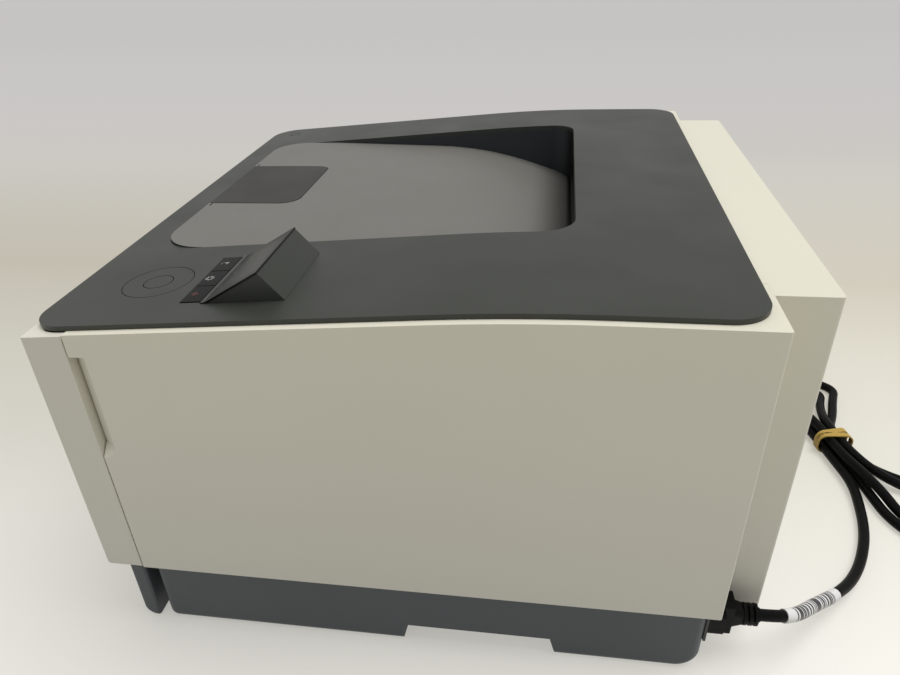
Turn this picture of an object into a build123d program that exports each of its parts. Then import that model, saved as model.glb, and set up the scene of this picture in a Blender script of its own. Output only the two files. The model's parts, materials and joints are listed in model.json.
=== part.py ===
from build123d import *
import os
from math import cos, pi, radians, sin, sqrt, tan

# Personal color laser printer. Millimetres, +Z up, front toward -Y, origin at the centre
# of the footprint on the desk. The right side, +X, is the one with the mains inlet.

# overall body
body_width = 392.0            # across the outer faces of the two side panels
half_width = body_width / 2
front_y = -192.0              # front face of the door and of the top cover
panel_rear_y = 161.8          # rear edge of the side panels
rear_y = 192.0                # rear face of the rear housing
seam_y = -169.0               # front edge of the side panels, where the door's sides begin
seam_gap = 0.8
base_top = 53.6               # deck of the base, where panels and door begin
top_rear_z = 228.3            # level rear stretch of the side panels' top edge
top_slope = 4.283             # degrees by which the top falls to the front
knee_y = 50.2                 # where the level top meets the slope
knee_radius = 1070.0
skin = 2.5                    # wall of the white mouldings
edge_round = 1.2
slip = 0.3                    # gap between neighbouring mouldings

# base, feet and tray
base_step = 7.5               # the base stands in from the side panels
base_half = half_width - base_step
base_front_y = -168.5
base_rear_y = 157.5
base_bottom = 0.6
base_wall = 3.0
base_front_corner = 6.0
base_rear_corner = 14.0
notch_front_y = -12.0
notch_rear_y = 72.5
notch_high = 14.4
notch_slant = 4.0
foot_radius = 9.0
foot_high = 4.0
foot_inset = 22.0
foot_rear_inset = 72.0
deck_hole_half = 132.0
deck_hole_y = 138.0
rail_wide = 38.5              # hollow side rail between the tray and the base's side
tray_half = base_half - rail_wide
tray_wall = 2.5
tray_bottom = 6.5
tray_rear_y = 125.0
tray_front_y = -185.0
tray_front_thick = 10.0
tray_front_gap = 4.6           # between the tray's front and the base's top
tray_front_top = base_top - tray_front_gap
tray_lip_radius = 8.0
tray_face_low = 0.5
tray_side_high = 34.0
run_gap = 1.0                 # side gap of the tray in its bay
runner_gap = 0.05             # between the tray's floor and the two runners under it
runner_x = 110.0
lift_front_y = 34.0
lift_rear_y = 92.0
guide_thick = 2.5
guide_high = 24.0
guide_long = 70.0
guide_x = 108.5               # letter width, 216 mm, plus half a millimetre
guide_front_y = -50.0
guide_foot_gap = 9.0          # from a guide's foot to the tray's side wall
lift_half = 104.0
pad_low_z = 36.0

# top cover, output bin and stop flap
cover_inset = 4.5
cover_rear_y = 157.5
cover_thick = 2.7
cover_corner = 19.0
cut_high = 32.0               # how far cuts through the cover start above the top
cut_low = 78.0                # and how far under it they end
bin_left_margin = 59.5
bin_right_margin = 100.5
bin_left_x = bin_left_margin - half_width
bin_right_x = half_width - bin_right_margin
bin_front_y = -170.5
bin_rear_y = 75.6
bin_corners = (26.3, 25.0, 16.0, 20.0)     # right front, left front, left rear, right rear
bin_skin = 2.4
bin_wall = 3.0
bin_skirt = 7.0               # edge turned down under the floor's raised front
skirt_rear_y = -110.0
bin_deep = 43.8
bin_low_z = top_rear_z - bin_deep
# corners of the floor's line from front to rear: y, depth under the level top, bend radius
bin_line = ((bin_front_y, 11.5), (-122.0, 11.5, 430.0), (6.0, 15.0, 260.0), (bin_rear_y, 38.1))
exit_deep = 29.3
exit_high = 23.0
exit_low_z = top_rear_z - exit_deep
exit_half = 108.0
flap_left_x = -67.5
flap_right_x = 17.8
flap_rear_y = -109.0
flap_thick = 2.0
flap_corner = 14.0
flap_pin_radius = 1.0
flap_axis_in = 2.9            # of the flap's axis behind the bin's front edge
flap_axis_y = bin_front_y + flap_axis_in
flap_axis_deep = 12.85
flap_axis_z = top_rear_z - flap_axis_deep
flap_room = 3.0               # for the flap's front edge, which swings down

# control panel
ring_margin = 53.0
ring_x = half_width - ring_margin
ring_y = -144.0
ring_outer = 19.2
ring_inner = 8.1
ok_radius = 7.7
groove = 0.4
key_margin = 26.0
keys_wide = 56.0
key_right_x = half_width - key_margin
key_left_x = key_right_x - keys_wide
key_front_y = -118.5
key_rear_y = -107.5
ramp_front_y = -103.5
ridge_y = -74.5
ridge_rise = 7.9              # of the display's ridge over the side panels' level top
ridge_z = top_rear_z + ridge_rise
glass_thick = 1.0
wedge_back_y = -62.5
wedge_margin = 24.5
wedge_wide = 58.5
wedge_right_x = half_width - wedge_margin
wedge_left_x = wedge_right_x - wedge_wide
key_travel = 0.6
ok_travel = 0.8
switch_gap = 0.2              # left under a key that is pressed all the way
power_margin = 23.4
power_x = power_margin - half_width
power_y = -171.4
power_radius = 4.0
board_drop = 8.0              # control board's depth under the cover
board_y = -122.0
board_wide = 58.0
board_long = 92.0
switch_foot = 0.3             # a switch's foot sunk in the board
key_deep = 4.6
key_proud = 0.3

# front door
door_skin = 2.6
door_pivot_y = -183.5
door_pivot_z = 58.0
pivot_radius = 2.0
arm_radius = 4.5
pivot_gap = 0.05
door_ear_margin = 12.5
door_ear_x = base_half - door_ear_margin
door_top_gap = 0.5
grip_long = 55.7
grip_from_top = 28.6
grip_high_z = top_rear_z - grip_from_top
grip_low_z = grip_high_z - grip_long
grip_rear_y = -159.3
grip_deep = 7.0

# rear housing and door
rear_step = 34.0
rear_half = half_width - rear_step
rear_bottom_z = 28.0
rear_door_margin = 34.0
rear_door_half = rear_half - rear_door_margin
rear_door_low = 66.0
rear_door_drop = 32.3
rear_door_high = top_rear_z - rear_door_drop
rear_door_thick = 3.0
rear_door_swing = 2.6         # room under the door for its lower edge, which swings inward
rear_pivot_rise = 5.0
rear_pivot_z = rear_door_low + rear_pivot_rise
screw_margin = 16.0
panel_flange = 12.0           # of the side panel's top behind the cover's corner
screw_radius = 1.4
screw_head_radius = 3.4
rear_pivot_in = 5.5
rear_pivot_y = rear_y - rear_pivot_in
grille_slots = 8
grille_pitch = 6.0
port_off_plate = 13.0
port_half = 9.5
port_low_z = 66.0
port_high_z = 98.0

# frame and print engine
frame_inset = 36.0            # from the printer's side to the steel plate's inner face
frame_half = half_width - frame_inset
frame_thick = 1.5
port_x = -(frame_half + frame_thick + port_off_plate)
frame_front_y = -150.0
frame_rear_y = 150.0
frame_top_drop = 42.3
frame_top_z = top_rear_z - frame_top_drop
tower_front_y = 82.0
tower_top_drop = 12.3
tower_top_z = top_rear_z - tower_top_drop
rail_reach = 16.0
rail_in_x = frame_half - rail_reach
drawer_side_gap = 10.0
drawer_half = frame_half - drawer_side_gap
drawer_wall = 2.0
drawer_front_y = -150.0
drawer_rear_y = 86.0
drawer_high = 26.0
drawer_lip_high = 60.0
toner_pitch = 54.0
toner_first_y = -118.0
toner_end_gap = 9.0
toner_long = 2 * (drawer_half - toner_end_gap)
drum_radius = 12.0
cheek_wide = 10.0
drum_long = toner_long - 2 * cheek_wide
shaft_radius = 3.0
bore_gap = 0.05
belt_front_y = -130.0
belt_rear_y = 92.0
belt_rise = 27.2              # of the belt's middle over the deck
belt_z = base_top + belt_rise
drawer_rise = 15.2            # of the drawer's floor over the belt's middle
drawer_bottom = belt_z + drawer_rise
belt_roller_radius = 9.0
belt_thick = 0.6
belt_margin = 6.0
belt_width = drum_long - 2 * belt_margin
transfer_radius = 8.0
nip_y = 112.0
fuser_drop = 80.3
fuser_z = top_rear_z - fuser_drop
fuser_radius = 12.0
pressure_radius = 13.0
exit_y = 92.0
exit_drop = 24.3
exit_z = top_rear_z - exit_drop
exit_radius = 7.0
pickup_y = 104.0
pickup_z = 55.0
pickup_radius = 14.0
scanner_front_y = -108.0
scanner_rear_y = 60.0
scanner_high = 28.0
scanner_under_bin = 0.5
scanner_top = bin_low_z - scanner_under_bin
scanner_bottom = scanner_top - scanner_high
scanner_side_gap = 20.0
scanner_half = frame_half - scanner_side_gap
toner_top_gap = 8.0           # from the cartridges' tops to the scanner, with room for their grips
toner_high = scanner_bottom - toner_top_gap - drawer_bottom - drawer_wall
mirror_across = 30.0

# drive, power and control
motor_radius = 21.0
motor_long = 12.0
motor_y = 30.0
motor_z = 132.0
pinion_teeth = 15
gear_teeth = 45
gear_module = 1.0
gear_wide = 6.0
tooth_share = 0.44            # tooth width over pitch at the pitch circle
fan_size = 60.0
fan_thick = 15.0
fan_y = -70.0
fan_z = 110.0
fan_blades = 7
board_thick = 1.6

# mains cord
inlet_margin = 15.6
inlet_x = base_half - inlet_margin
inlet_z = 34.0
inlet_half = 12.5
inlet_high = 19.0
inlet_lip = 0.8
plug_in_depth = 16.0
plug_half = 10.6
plug_high = 15.6
plug_grip_half = 6.5
plug_grip_high = 24.6
plug_grip_rise = 8.5          # of the connector's grip over the inlet's face
plug_grip_thick = 6.0
rib_radius = 6.4
relief_end = 30.0
cord_diameter = 7.0
plug_body_high = 22.0
tie_x = -32.0
tie_y = 291.0
hank_turn = 11.0             # heading of the hank's middle line at the tie, in degrees
hank_bend = 143.0            # radius of that line


def top_z(y):
    """Height of the side panels' top line, before the knee is rounded."""
    return top_rear_z - tan(radians(top_slope)) * max(0.0, knee_y - y)


def box(x0, x1, y0, y1, z0, z1):
    """Block between two corners."""
    return Pos((x0 + x1) / 2, (y0 + y1) / 2, (z0 + z1) / 2) * Box(x1 - x0, y1 - y0, z1 - z0)


def outline(points):
    """Face inside a closed outline of (u, v) or (u, v, corner radius)."""
    corners = [(p[0], p[1]) for p in points]
    radii = [p[2] if len(p) > 2 else 0.0 for p in points]
    if max(radii) == 0:
        return make_face(Polyline(*corners, close=True).edges())
    return make_face(FilletPolyline(*corners, radius=radii, close=True).edges())


def prism_x(points, x0, x1):
    """Outline in Y and Z, carried from x0 to x1."""
    return extrude(Plane.YZ.offset(x0) * outline(points), x1 - x0, dir=(1, 0, 0))


def prism_z(points, z0, z1):
    """Outline in X and Y, carried from z0 to z1."""
    return extrude(Plane.XY.offset(z0) * outline(points), z1 - z0, dir=(0, 0, 1))


def rod_x(x0, x1, y, z, radius):
    """Round bar along X."""
    return Pos((x0 + x1) / 2, y, z) * Rot(0, 90, 0) * Cylinder(radius, x1 - x0)


def rod_y(y0, y1, x, z, radius):
    """Round bar along Y."""
    return Pos(x, (y0 + y1) / 2, z) * Rot(90, 0, 0) * Cylinder(radius, y1 - y0)


def rod_z(z0, z1, x, y, radius):
    """Round bar along Z."""
    return Pos(x, y, (z0 + z1) / 2) * Cylinder(radius, z1 - z0)


def under_top(offset, y0, y1, z0, x0, x1):
    """Everything below the top line moved up by offset, between y0 and y1, above z0."""
    far = half_width + 20
    line = [(far, top_rear_z + offset), (knee_y, top_rear_z + offset, knee_radius),
            (-far, top_z(-far) + offset)]
    return prism_x([(-far, z0), (far, z0)] + line, x0, x1) & box(x0, x1, y0, y1, z0, top_rear_z + offset + 1)


def cover_plane(x, y, lift=0.0):
    """Plane on the sloped cover at x, y, its normal square to the cover."""
    a = radians(top_slope)
    z = top_z(y) + cover_thick / cos(a)
    normal = Vector(0, -sin(a), cos(a))
    return Plane(origin=Vector(x, y, z) + normal * lift, x_dir=(1, 0, 0), z_dir=normal)


def round_edges(part, axis, radius, keep):
    """Round the edges along one axis that keep chooses."""
    chosen = [e for e in part.edges().filter_by(axis) if keep(e.center())]
    return fillet(chosen, radius) if chosen else part


def base_frame():
    """Dark bottom moulding: hollow side rails, tray bay, deck and the arms that carry the door."""
    profile = [(base_front_y, base_bottom, base_front_corner), (base_rear_y, base_bottom, base_rear_corner),
               (base_rear_y, base_top), (base_front_y, base_top)]
    part = prism_x(profile, -base_half, base_half)
    part = round_edges(part, Axis.Z, 5.0, lambda c: c.Y < base_front_y + 1)
    bay_half = tray_half + run_gap
    under_deck = base_top - base_wall
    part -= box(-bay_half, bay_half, base_front_y - 1, tray_rear_y + run_gap, base_bottom + 2, under_deck)
    pocket_in, pocket_out = bay_half + base_wall, base_half - base_wall
    for x0, x1 in ((-pocket_out, -pocket_in), (pocket_in, pocket_out)):
        part -= box(x0, x1, base_front_y + 6, base_rear_y - base_wall, base_bottom - 1, under_deck)
    part -= box(-pocket_in, pocket_in, tray_rear_y + run_gap + base_wall, base_rear_y - base_wall,
                base_bottom - 1, under_deck)
    part -= box(-deck_hole_half, deck_hole_half, -deck_hole_half, deck_hole_y, under_deck - 1, base_top + 1)
    part -= box(-frame_half - 6, frame_half + 6, pickup_y - 8, pickup_y + 8, under_deck, base_top + 1)
    notch = [(notch_front_y - notch_slant, 0), (notch_rear_y + notch_slant, 0),
             (notch_rear_y, notch_high + base_bottom), (notch_front_y, notch_high + base_bottom)]
    part -= prism_x(notch, -base_half - 1, -pocket_out + 1) + prism_x(notch, pocket_out - 1, base_half + 1)
    part -= box(inlet_x - inlet_half - slip, inlet_x + inlet_half + slip, base_rear_y - base_wall - 1,
                base_rear_y + 1, inlet_z - inlet_high / 2 - slip, inlet_z + inlet_high / 2 + slip)
    for x in (-runner_x, runner_x):
        part += box(x - 4, x + 4, base_front_y + 4, tray_rear_y - 10, base_bottom + 1, tray_bottom - runner_gap)
    for x, y in foot_places():
        part += rod_z(base_bottom, base_top - 1, x, y, foot_radius + 2)
        part -= rod_z(base_bottom - 1, foot_high, x, y, foot_radius + slip / 2)
    for side in (-1, 1):
        x0, x1 = sorted((side * door_ear_x, side * (door_ear_x - 6)))
        part += box(x0, x1, door_pivot_y, base_front_y + 12, door_pivot_z - arm_radius,
                    door_pivot_z + arm_radius)
        part += rod_x(x0, x1, door_pivot_y, door_pivot_z, arm_radius)
        part -= rod_x(x0 - 1, x1 + 1, door_pivot_y, door_pivot_z, pivot_radius + pivot_gap)
    return part


def foot_places():
    """Centres of the four rubber feet, under the rails."""
    x = base_half - foot_inset
    return [(x, base_front_y + foot_inset), (-x, base_front_y + foot_inset),
            (x, base_rear_y - foot_rear_inset), (-x, base_rear_y - foot_rear_inset)]


def rubber_feet():
    """Four pads set in shallow pockets of the base."""
    return [rod_z(0, foot_high, x, y, foot_radius) for x, y in foot_places()]


def side_panel():
    """Right white panel: an outer skin with a rim turned in all round, and the finger grip."""
    rim_x = base_half - 8.5
    full = under_top(0.0, seam_y, panel_rear_y, base_top, rim_x, half_width)
    hollow = under_top(-skin, seam_y + skin, panel_rear_y - skin, base_top + skin, rim_x - 1, half_width - skin)
    part = full - hollow
    part += box(rear_half - 12, rim_x + 1, panel_rear_y - skin, panel_rear_y, base_top, top_rear_z)
    part += box(rear_half - 12, rim_x + 1, panel_rear_y - panel_flange, panel_rear_y, top_rear_z - skin,
                top_rear_z)
    pocket = box(half_width - grip_deep - skin, half_width - skin / 2, seam_y, grip_rear_y + skin,
                 grip_low_z - grip_deep - skin, grip_high_z + skin)
    part += pocket
    wedge = extrude(Pos(0, 0, grip_low_z) * outline([(half_width + 1, grip_rear_y), (half_width + 1, seam_y - 1),
                    (half_width - grip_deep, seam_y - 1)]), grip_high_z - grip_low_z, dir=(0, 0, 1))
    ramp = loft([Pos(0, 0, grip_low_z) * outline([(half_width + 1, grip_rear_y), (half_width + 1, seam_y - 1),
                 (half_width - grip_deep, seam_y - 1)]),
                 Pos(0, 0, grip_low_z - grip_deep) * outline([(half_width + 1, grip_rear_y),
                 (half_width + 1, seam_y - 1), (half_width + 0.2, seam_y - 1)])], ruled=True)
    part = part - wedge - ramp
    part = round_edges(part, Axis.Z, edge_round,
                       lambda c: c.X > half_width - 0.1 and c.Y > panel_rear_y - 0.1)
    return part


def top_cover():
    """Dark sloped cover with the bin opening and the holes of the control panel."""
    plan = prism_z([(cover_x(1), front_y, cover_corner), (cover_x(1), cover_rear_y, cover_corner),
                    (cover_x(-1), cover_rear_y, cover_corner), (cover_x(-1), front_y, cover_corner)],
                   top_rear_z - cut_low, top_rear_z + cut_high)
    slab = under_top(cover_thick, front_y - 5, cover_rear_y + 5, 100, -half_width, half_width) \
        - under_top(0.0, front_y - 6, cover_rear_y + 6, 90, -half_width - 1, half_width + 1)
    part = plan & slab
    part -= bin_opening(0.0, top_rear_z - cut_low)
    stretch = key_rear_y - key_front_y
    part -= cover_plane(0, (key_front_y + key_rear_y) / 2, -10) * Pos((key_left_x + key_right_x) / 2, 0, 0) \
        * Box(key_right_x - key_left_x + 2 * groove, stretch + 2 * groove, 24)
    part -= cover_plane(ring_x, ring_y, -10) * Cylinder(ring_outer, 24)
    part -= cover_plane(power_x, power_y, -10) * Cylinder(power_radius + groove, 24)
    for x in (key_left_x + 3, key_right_x - 3):
        for y in (ring_y - 17, wedge_back_y - 17):
            post = Pos(0, 0, -(board_drop + cover_thick) / 2 + 0.2) * Cylinder(2.5, board_drop - cover_thick + 0.4)
            part += cover_plane(x, y) * post
    return part


def cover_x(side):
    """Side edge of the cover."""
    return side * (half_width - cover_inset)


def bin_opening(inset, z0):
    """Upright prism of the bin's opening, shrunk by inset, from z0 to above the cover."""
    a, b, c, d = (max(r - inset, 1.0) for r in bin_corners)
    return prism_z([(bin_right_x - inset, bin_front_y + inset, a), (bin_left_x + inset, bin_front_y + inset, b),
                    (bin_left_x + inset, bin_rear_y - inset, c), (bin_right_x - inset, bin_rear_y - inset, d)],
                   z0, top_rear_z + cut_high)


def bin_floor_below(drop, x0, x1, z0):
    """Everything under the bin's floor line lowered by drop."""
    level = top_rear_z - drop
    front, hump, bend, rear = bin_line
    line = [(rear[0] + 6, level - rear[1] - 2.0), (bend[0], level - bend[1], bend[2]),
            (hump[0], level - hump[1], hump[2]), (front[0] - 6, level - front[1] - 0.5)]
    return prism_x([(front[0] - 6, z0), (rear[0] + 6, z0)] + line, x0, x1)


def output_bin():
    """Mid-grey tub under the cover: the curved floor, its side walls and the exit mouth at the rear."""
    x0, x1 = bin_left_x - bin_wall, bin_right_x + bin_wall
    y0, y1 = bin_front_y - bin_wall, bin_rear_y + bin_wall
    body = under_top(0.0, y0, y1, bin_low_z, x0, x1) - bin_opening(0.0, bin_low_z - 1)
    core = bin_opening(slip, bin_low_z) & bin_floor_below(0.0, x0, x1, bin_low_z)
    rim = bin_opening(-bin_wall / 2, bin_low_z) & bin_floor_below(0.6, x0, x1, bin_low_z) \
        & under_top(0.0, y0, y1, bin_low_z, x0, x1)
    part = body + core + rim
    part -= bin_floor_below(bin_skin + bin_skirt, bin_left_x, bin_right_x, bin_low_z - 1)
    part -= bin_opening(bin_wall, bin_low_z - 1) & bin_floor_below(bin_skin, x0, x1, bin_low_z - 1)
    part -= bin_floor_below(bin_skin, bin_left_x, bin_right_x, bin_low_z - 1) \
        & box(x0, x1, skirt_rear_y, y1 + 1, bin_low_z - 1, top_rear_z)
    part -= box(-exit_half, exit_half - 16, bin_rear_y - 4, y1 + 1, exit_low_z, exit_low_z + exit_high)
    ears = [flap_left_x - 4, flap_right_x + slip]
    for x in ears:
        part += box(x, x + 4 - slip, flap_axis_y - 2.4, flap_axis_y + 4, flap_axis_z - 4, flap_axis_z)
    part -= flap_well()
    part -= box(flap_left_x - slip, flap_right_x + slip, bin_front_y - 0.1, flap_axis_y + 3.5,
                flap_axis_z - flap_room, flap_axis_z + flap_room)
    for x in ears:
        part -= rod_x(x - 1, x + 5, flap_axis_y, flap_axis_z, flap_pin_radius + bore_gap)
    return part


def flap_plan(grow):
    """Plan of the paper stop flap."""
    front = bin_front_y + 1.0 - grow
    return [(flap_right_x + grow, flap_rear_y + grow, flap_corner), (flap_left_x - grow, flap_rear_y + grow,
            flap_corner / 2), (flap_left_x - grow, front), (flap_right_x + grow, front)]


def flap_slab(grow, above, below):
    """Slab that follows the bin's floor line under the flap's plan."""
    band = bin_floor_below(-above, bin_left_x, bin_right_x, bin_low_z) \
        - bin_floor_below(below, bin_left_x, bin_right_x, bin_low_z - 1)
    return prism_z(flap_plan(grow), bin_low_z, top_rear_z + cut_high) & band


def flap_well():
    """Shallow recess in the bin's floor that holds the flap."""
    return flap_slab(slip, 8.0, flap_thick - 0.2)


def paper_stop_flap():
    """Dark flap that lies in the floor and swings up about its front edge to stop long sheets."""
    part = flap_slab(0.0, 0.2, flap_thick - 0.2 - slip)
    part += rod_x(flap_left_x, flap_right_x, flap_axis_y, flap_axis_z, flap_pin_radius + 0.1)
    part += rod_x(flap_left_x - 3, flap_right_x + 3, flap_axis_y, flap_axis_z, flap_pin_radius)
    return part


def front_door():
    """White door: front, sides with a wall that closes each grip, a narrow top, and pins in the base's arms."""
    back = seam_y - seam_gap
    low = base_top + 0.2
    part = under_top(-door_top_gap, front_y, back, low, -half_width, half_width)
    hollow_x = half_width - door_skin
    part -= under_top(-door_top_gap - door_skin, front_y + door_skin, back + 1, low - 1, -hollow_x, hollow_x)
    plate = [(cover_x(1) + slip, front_y, cover_corner), (cover_x(1) + slip, 0), (cover_x(-1) - slip, 0),
             (cover_x(-1) - slip, front_y, cover_corner)]
    top0, top1 = top_rear_z - cut_low, top_rear_z + cut_high
    part -= prism_z(plate, top0, top1) & box(-half_width, half_width, door_pivot_y - 0.2, 0, top0, top1)
    part = round_edges(part, Axis.X, 2.5, lambda c: c.Y < front_y + 0.1 and c.Z < low + 0.1)
    part = round_edges(part, Axis.Z, edge_round, lambda c: c.Y < front_y + 0.1)
    for side in (-1, 1):
        x0, x1 = sorted((side * (door_ear_x - 9), side * (hollow_x + 0.5)))
        part += rod_x(x0, x1, door_pivot_y, door_pivot_z, pivot_radius)
        x0, x1 = sorted((side * (door_ear_x + 1), side * (hollow_x + 0.5)))
        part += rod_x(x0, x1, door_pivot_y, door_pivot_z, arm_radius)
        x0, x1 = sorted((side * (half_width - grip_deep - skin), side * (hollow_x + 0.5)))
        part += box(x0, x1, back - door_skin, back, grip_low_z - grip_deep - skin, grip_high_z + skin)
    for z in (100.0, 150.0):
        part += box(-hollow_x - 0.5, hollow_x + 0.5, front_y + door_skin - 0.5, front_y + 12, z, z + 2)
    return part


def left_side_panel():
    """Mirror of the right panel, with the fan's grille and the opening for the ports."""
    part = mirror(side_panel(), Plane.YZ)
    for i in range(grille_slots):
        z = fan_z - (grille_slots - 1) * grille_pitch / 2 + i * grille_pitch
        part -= box(-half_width - 1, -half_width + skin + 1, fan_y - 26, fan_y + 26, z - 1.5, z + 1.5)
    part -= box(port_x - port_half - slip, port_x + port_half + slip, panel_rear_y - skin - 1, panel_rear_y + 1,
                port_low_z - slip, port_high_z + slip)
    return part


def rear_housing():
    """White block behind the body that holds the upper paper path and the rear door."""
    y0, seat_y = panel_rear_y, rear_y - 7.5
    part = box(-rear_half, rear_half, y0, rear_y, rear_bottom_z, top_rear_z)
    part = round_edges(part, Axis.Z, 2.0, lambda c: c.Y > rear_y - 0.1)
    part -= box(-rear_half + skin, rear_half - skin, y0 + skin, rear_y - skin, rear_bottom_z + skin,
                top_rear_z - skin)
    part -= box(-rear_half + 12, rear_half - 12, y0 - 1, y0 + skin + 1, base_top + 42, top_rear_z - 8)
    part -= box(-rear_door_half - slip, rear_door_half + slip, rear_y - 8, rear_y + 1,
                rear_door_low - rear_door_swing, rear_door_high + slip)
    for side in (-1, 1):
        x0, x1 = sorted((side * (rear_door_half + 1), side * (rear_door_half + 6)))
        part += box(x0, x1, rear_y - 11, rear_y - skin + 0.5, rear_pivot_z - 5, rear_pivot_z + 5)
        part -= rod_x(x0 - 1, x1 + 1, rear_pivot_y, rear_pivot_z, pivot_radius + pivot_gap)
    lip = rear_half - 12 - slip
    part += box(-lip, lip, cover_rear_y - 6, y0 + 1, top_rear_z - 2 * skin, top_rear_z)
    part += box(-lip, lip, base_rear_y - 4, y0 + 1, base_top, base_top + 42)
    for x, z in screw_places():
        part += rod_y(seat_y - 8, rear_y - 0.2, x, z, 6.0)
        part -= rod_y(seat_y, rear_y + 1, x, z, screw_head_radius + 0.6)
        part -= rod_y(seat_y - 9, seat_y + 1, x, z, screw_radius + bore_gap)
    return part


def screw_places():
    """Centres, in X and Z, of the screws in the rear housing."""
    x = rear_half - screw_margin
    heights = (rear_bottom_z + screw_margin, fan_z + 10, top_rear_z - screw_margin)
    return [(side * x, z) for side in (-1, 1) for z in heights]


def rear_door():
    """Access door of the paper path, hinged at its lower edge."""
    part = box(-rear_door_half, rear_door_half, rear_y - rear_door_thick, rear_y, rear_door_low, rear_door_high)
    part = round_edges(part, Axis.Y, 3.0, lambda c: True)
    part += rod_x(-rear_door_half, rear_door_half, rear_pivot_y, rear_pivot_z, pivot_radius + 1)
    part += rod_x(-rear_door_half - 6, rear_door_half + 6, rear_pivot_y, rear_pivot_z, pivot_radius)
    for x in range(-100, 101, 40):
        part += box(x - 1, x + 1, rear_y - 14, rear_y - rear_door_thick + 0.5, rear_door_low + 16,
                    rear_door_high - 16)
    return part


def display_housing():
    """Wedge that carries the display, standing on the cover."""
    points = [(ramp_front_y, cover_top(ramp_front_y)), (ridge_y, ridge_z),
              (wedge_back_y, cover_top(wedge_back_y))]
    part = prism_x(points, wedge_left_x, wedge_right_x)
    inner = [(ramp_front_y + 8, cover_top(ramp_front_y) - 1), (ridge_y, ridge_z - 5),
             (wedge_back_y - 4, cover_top(wedge_back_y) - 1)]
    return part - prism_x(inner, wedge_left_x + 2, wedge_right_x - 2)


def cover_top(y):
    """Height of the cover's upper face on its sloped stretch."""
    return top_z(y) + cover_thick


def display_window():
    """Black glossy panel over the ramp, with a flat lip toward the keys."""
    lip_y = key_rear_y + groove
    rise, run = ridge_z - cover_top(ramp_front_y), ridge_y - ramp_front_y
    length = sqrt(rise * rise + run * run)
    ny, nz = -rise / length * glass_thick, run / length * glass_thick
    points = [(lip_y, cover_top(lip_y)), (ramp_front_y, cover_top(ramp_front_y)), (ridge_y, ridge_z),
              (ridge_y + ny, ridge_z + nz), (ramp_front_y + ny / 2, cover_top(ramp_front_y) + glass_thick),
              (lip_y, cover_top(lip_y) + key_proud)]
    return prism_x(points, wedge_left_x - groove, wedge_right_x + groove)


def key(x0, x1):
    """Flat key cap whose skirt reaches down to its switch."""
    middle = (key_front_y + key_rear_y) / 2
    plane = cover_plane(0, middle)
    long = key_rear_y - key_front_y
    deep = key_deep + key_proud
    return plane * Pos((x0 + x1) / 2, 0, key_proud - deep / 2) * Box(x1 - x0, long, deep)


def key_edges():
    """Left and right sides of the three keys, from back to cancel."""
    third = (key_right_x - key_left_x) / 3
    return [(key_left_x + i * third + groove / 2, key_left_x + (i + 1) * third - groove / 2) for i in range(3)]


def arrow_ring():
    """Ring that rocks under the finger to step through the menu."""
    plane = cover_plane(ring_x, ring_y)
    part = Cylinder(ring_outer - groove, key_deep) - Cylinder(ring_inner, key_deep + 1)
    return plane * Pos(0, 0, -key_deep / 2) * part


def round_button(x, y, radius):
    """Round push button, flush with the cover."""
    return cover_plane(x, y) * Pos(0, 0, -key_deep / 2) * Cylinder(radius, key_deep)


def control_board():
    """Board under the cover with one dome switch under each key."""
    plane = cover_plane((key_left_x + key_right_x) / 2, board_y, -board_drop - board_thick / 2)
    board = plane * Box(board_wide, board_long, board_thick)
    for x0, x1 in key_edges():
        board += dome_switch((x0 + x1) / 2, (key_front_y + key_rear_y) / 2, key_travel)
    board += dome_switch(ring_x, ring_y, ok_travel)
    for dx, dy in ((0, 13), (0, -13), (13, 0), (-13, 0)):
        board += dome_switch(ring_x + dx, ring_y + dy, key_travel)
    return board


def dome_switch(x, y, travel):
    """Switch on the board, its top just under the fully pressed key."""
    high = board_drop - key_deep - travel - switch_gap
    return cover_plane(x, y, -board_drop) * Pos(0, 0, (high - switch_foot) / 2) * Box(5, 5, high + switch_foot)


def bores_x(part, places, radius, x0, x1):
    """Cut round bores along X at each (y, z)."""
    for y, z in places:
        part -= rod_x(x0, x1, y, z, radius)
    return part


def shaft_places():
    """Centres, in Y and Z, of the shafts that run in the two side plates."""
    return [(belt_front_y, belt_z), (belt_rear_y, belt_z), (transfer_y(), belt_z), (pickup_y, pickup_z),
            (exit_y, exit_z), (fuser_y(), fuser_z), (pressure_y(), fuser_z)]


def transfer_y():
    """The transfer roller stands behind the belt's rear roller."""
    return belt_rear_y + belt_roller_radius + belt_thick + slip + transfer_radius


def fuser_y():
    """The heated roller stands in front of the paper path."""
    return nip_y - slip / 2 - fuser_radius


def pressure_y():
    """The pressure roller stands behind the paper path."""
    return nip_y + slip / 2 + pressure_radius


def right_frame_plate():
    """Steel side plate with the drawer's rail and the bearings of every roller."""
    x0, x1 = frame_half, frame_half + frame_thick
    points = [(frame_front_y, base_top), (frame_rear_y, base_top), (frame_rear_y, tower_top_z),
              (tower_front_y, tower_top_z), (tower_front_y, frame_top_z), (frame_front_y, frame_top_z)]
    part = prism_x(points, x0, x1)
    part += box(x0, x0 + 12, frame_front_y, frame_rear_y, base_top, base_top + frame_thick)
    part += box(rail_in_x, x0 + 0.5, frame_front_y, drawer_rear_y + 4, drawer_bottom - slip - 3,
                drawer_bottom - slip)
    for y, z in shaft_places():
        part += rod_x(x0 - 3, x1 + 2, y, z, shaft_radius + 3)
    return bores_x(part, shaft_places(), shaft_radius + bore_gap, x0 - 8, x1 + 8)


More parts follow.
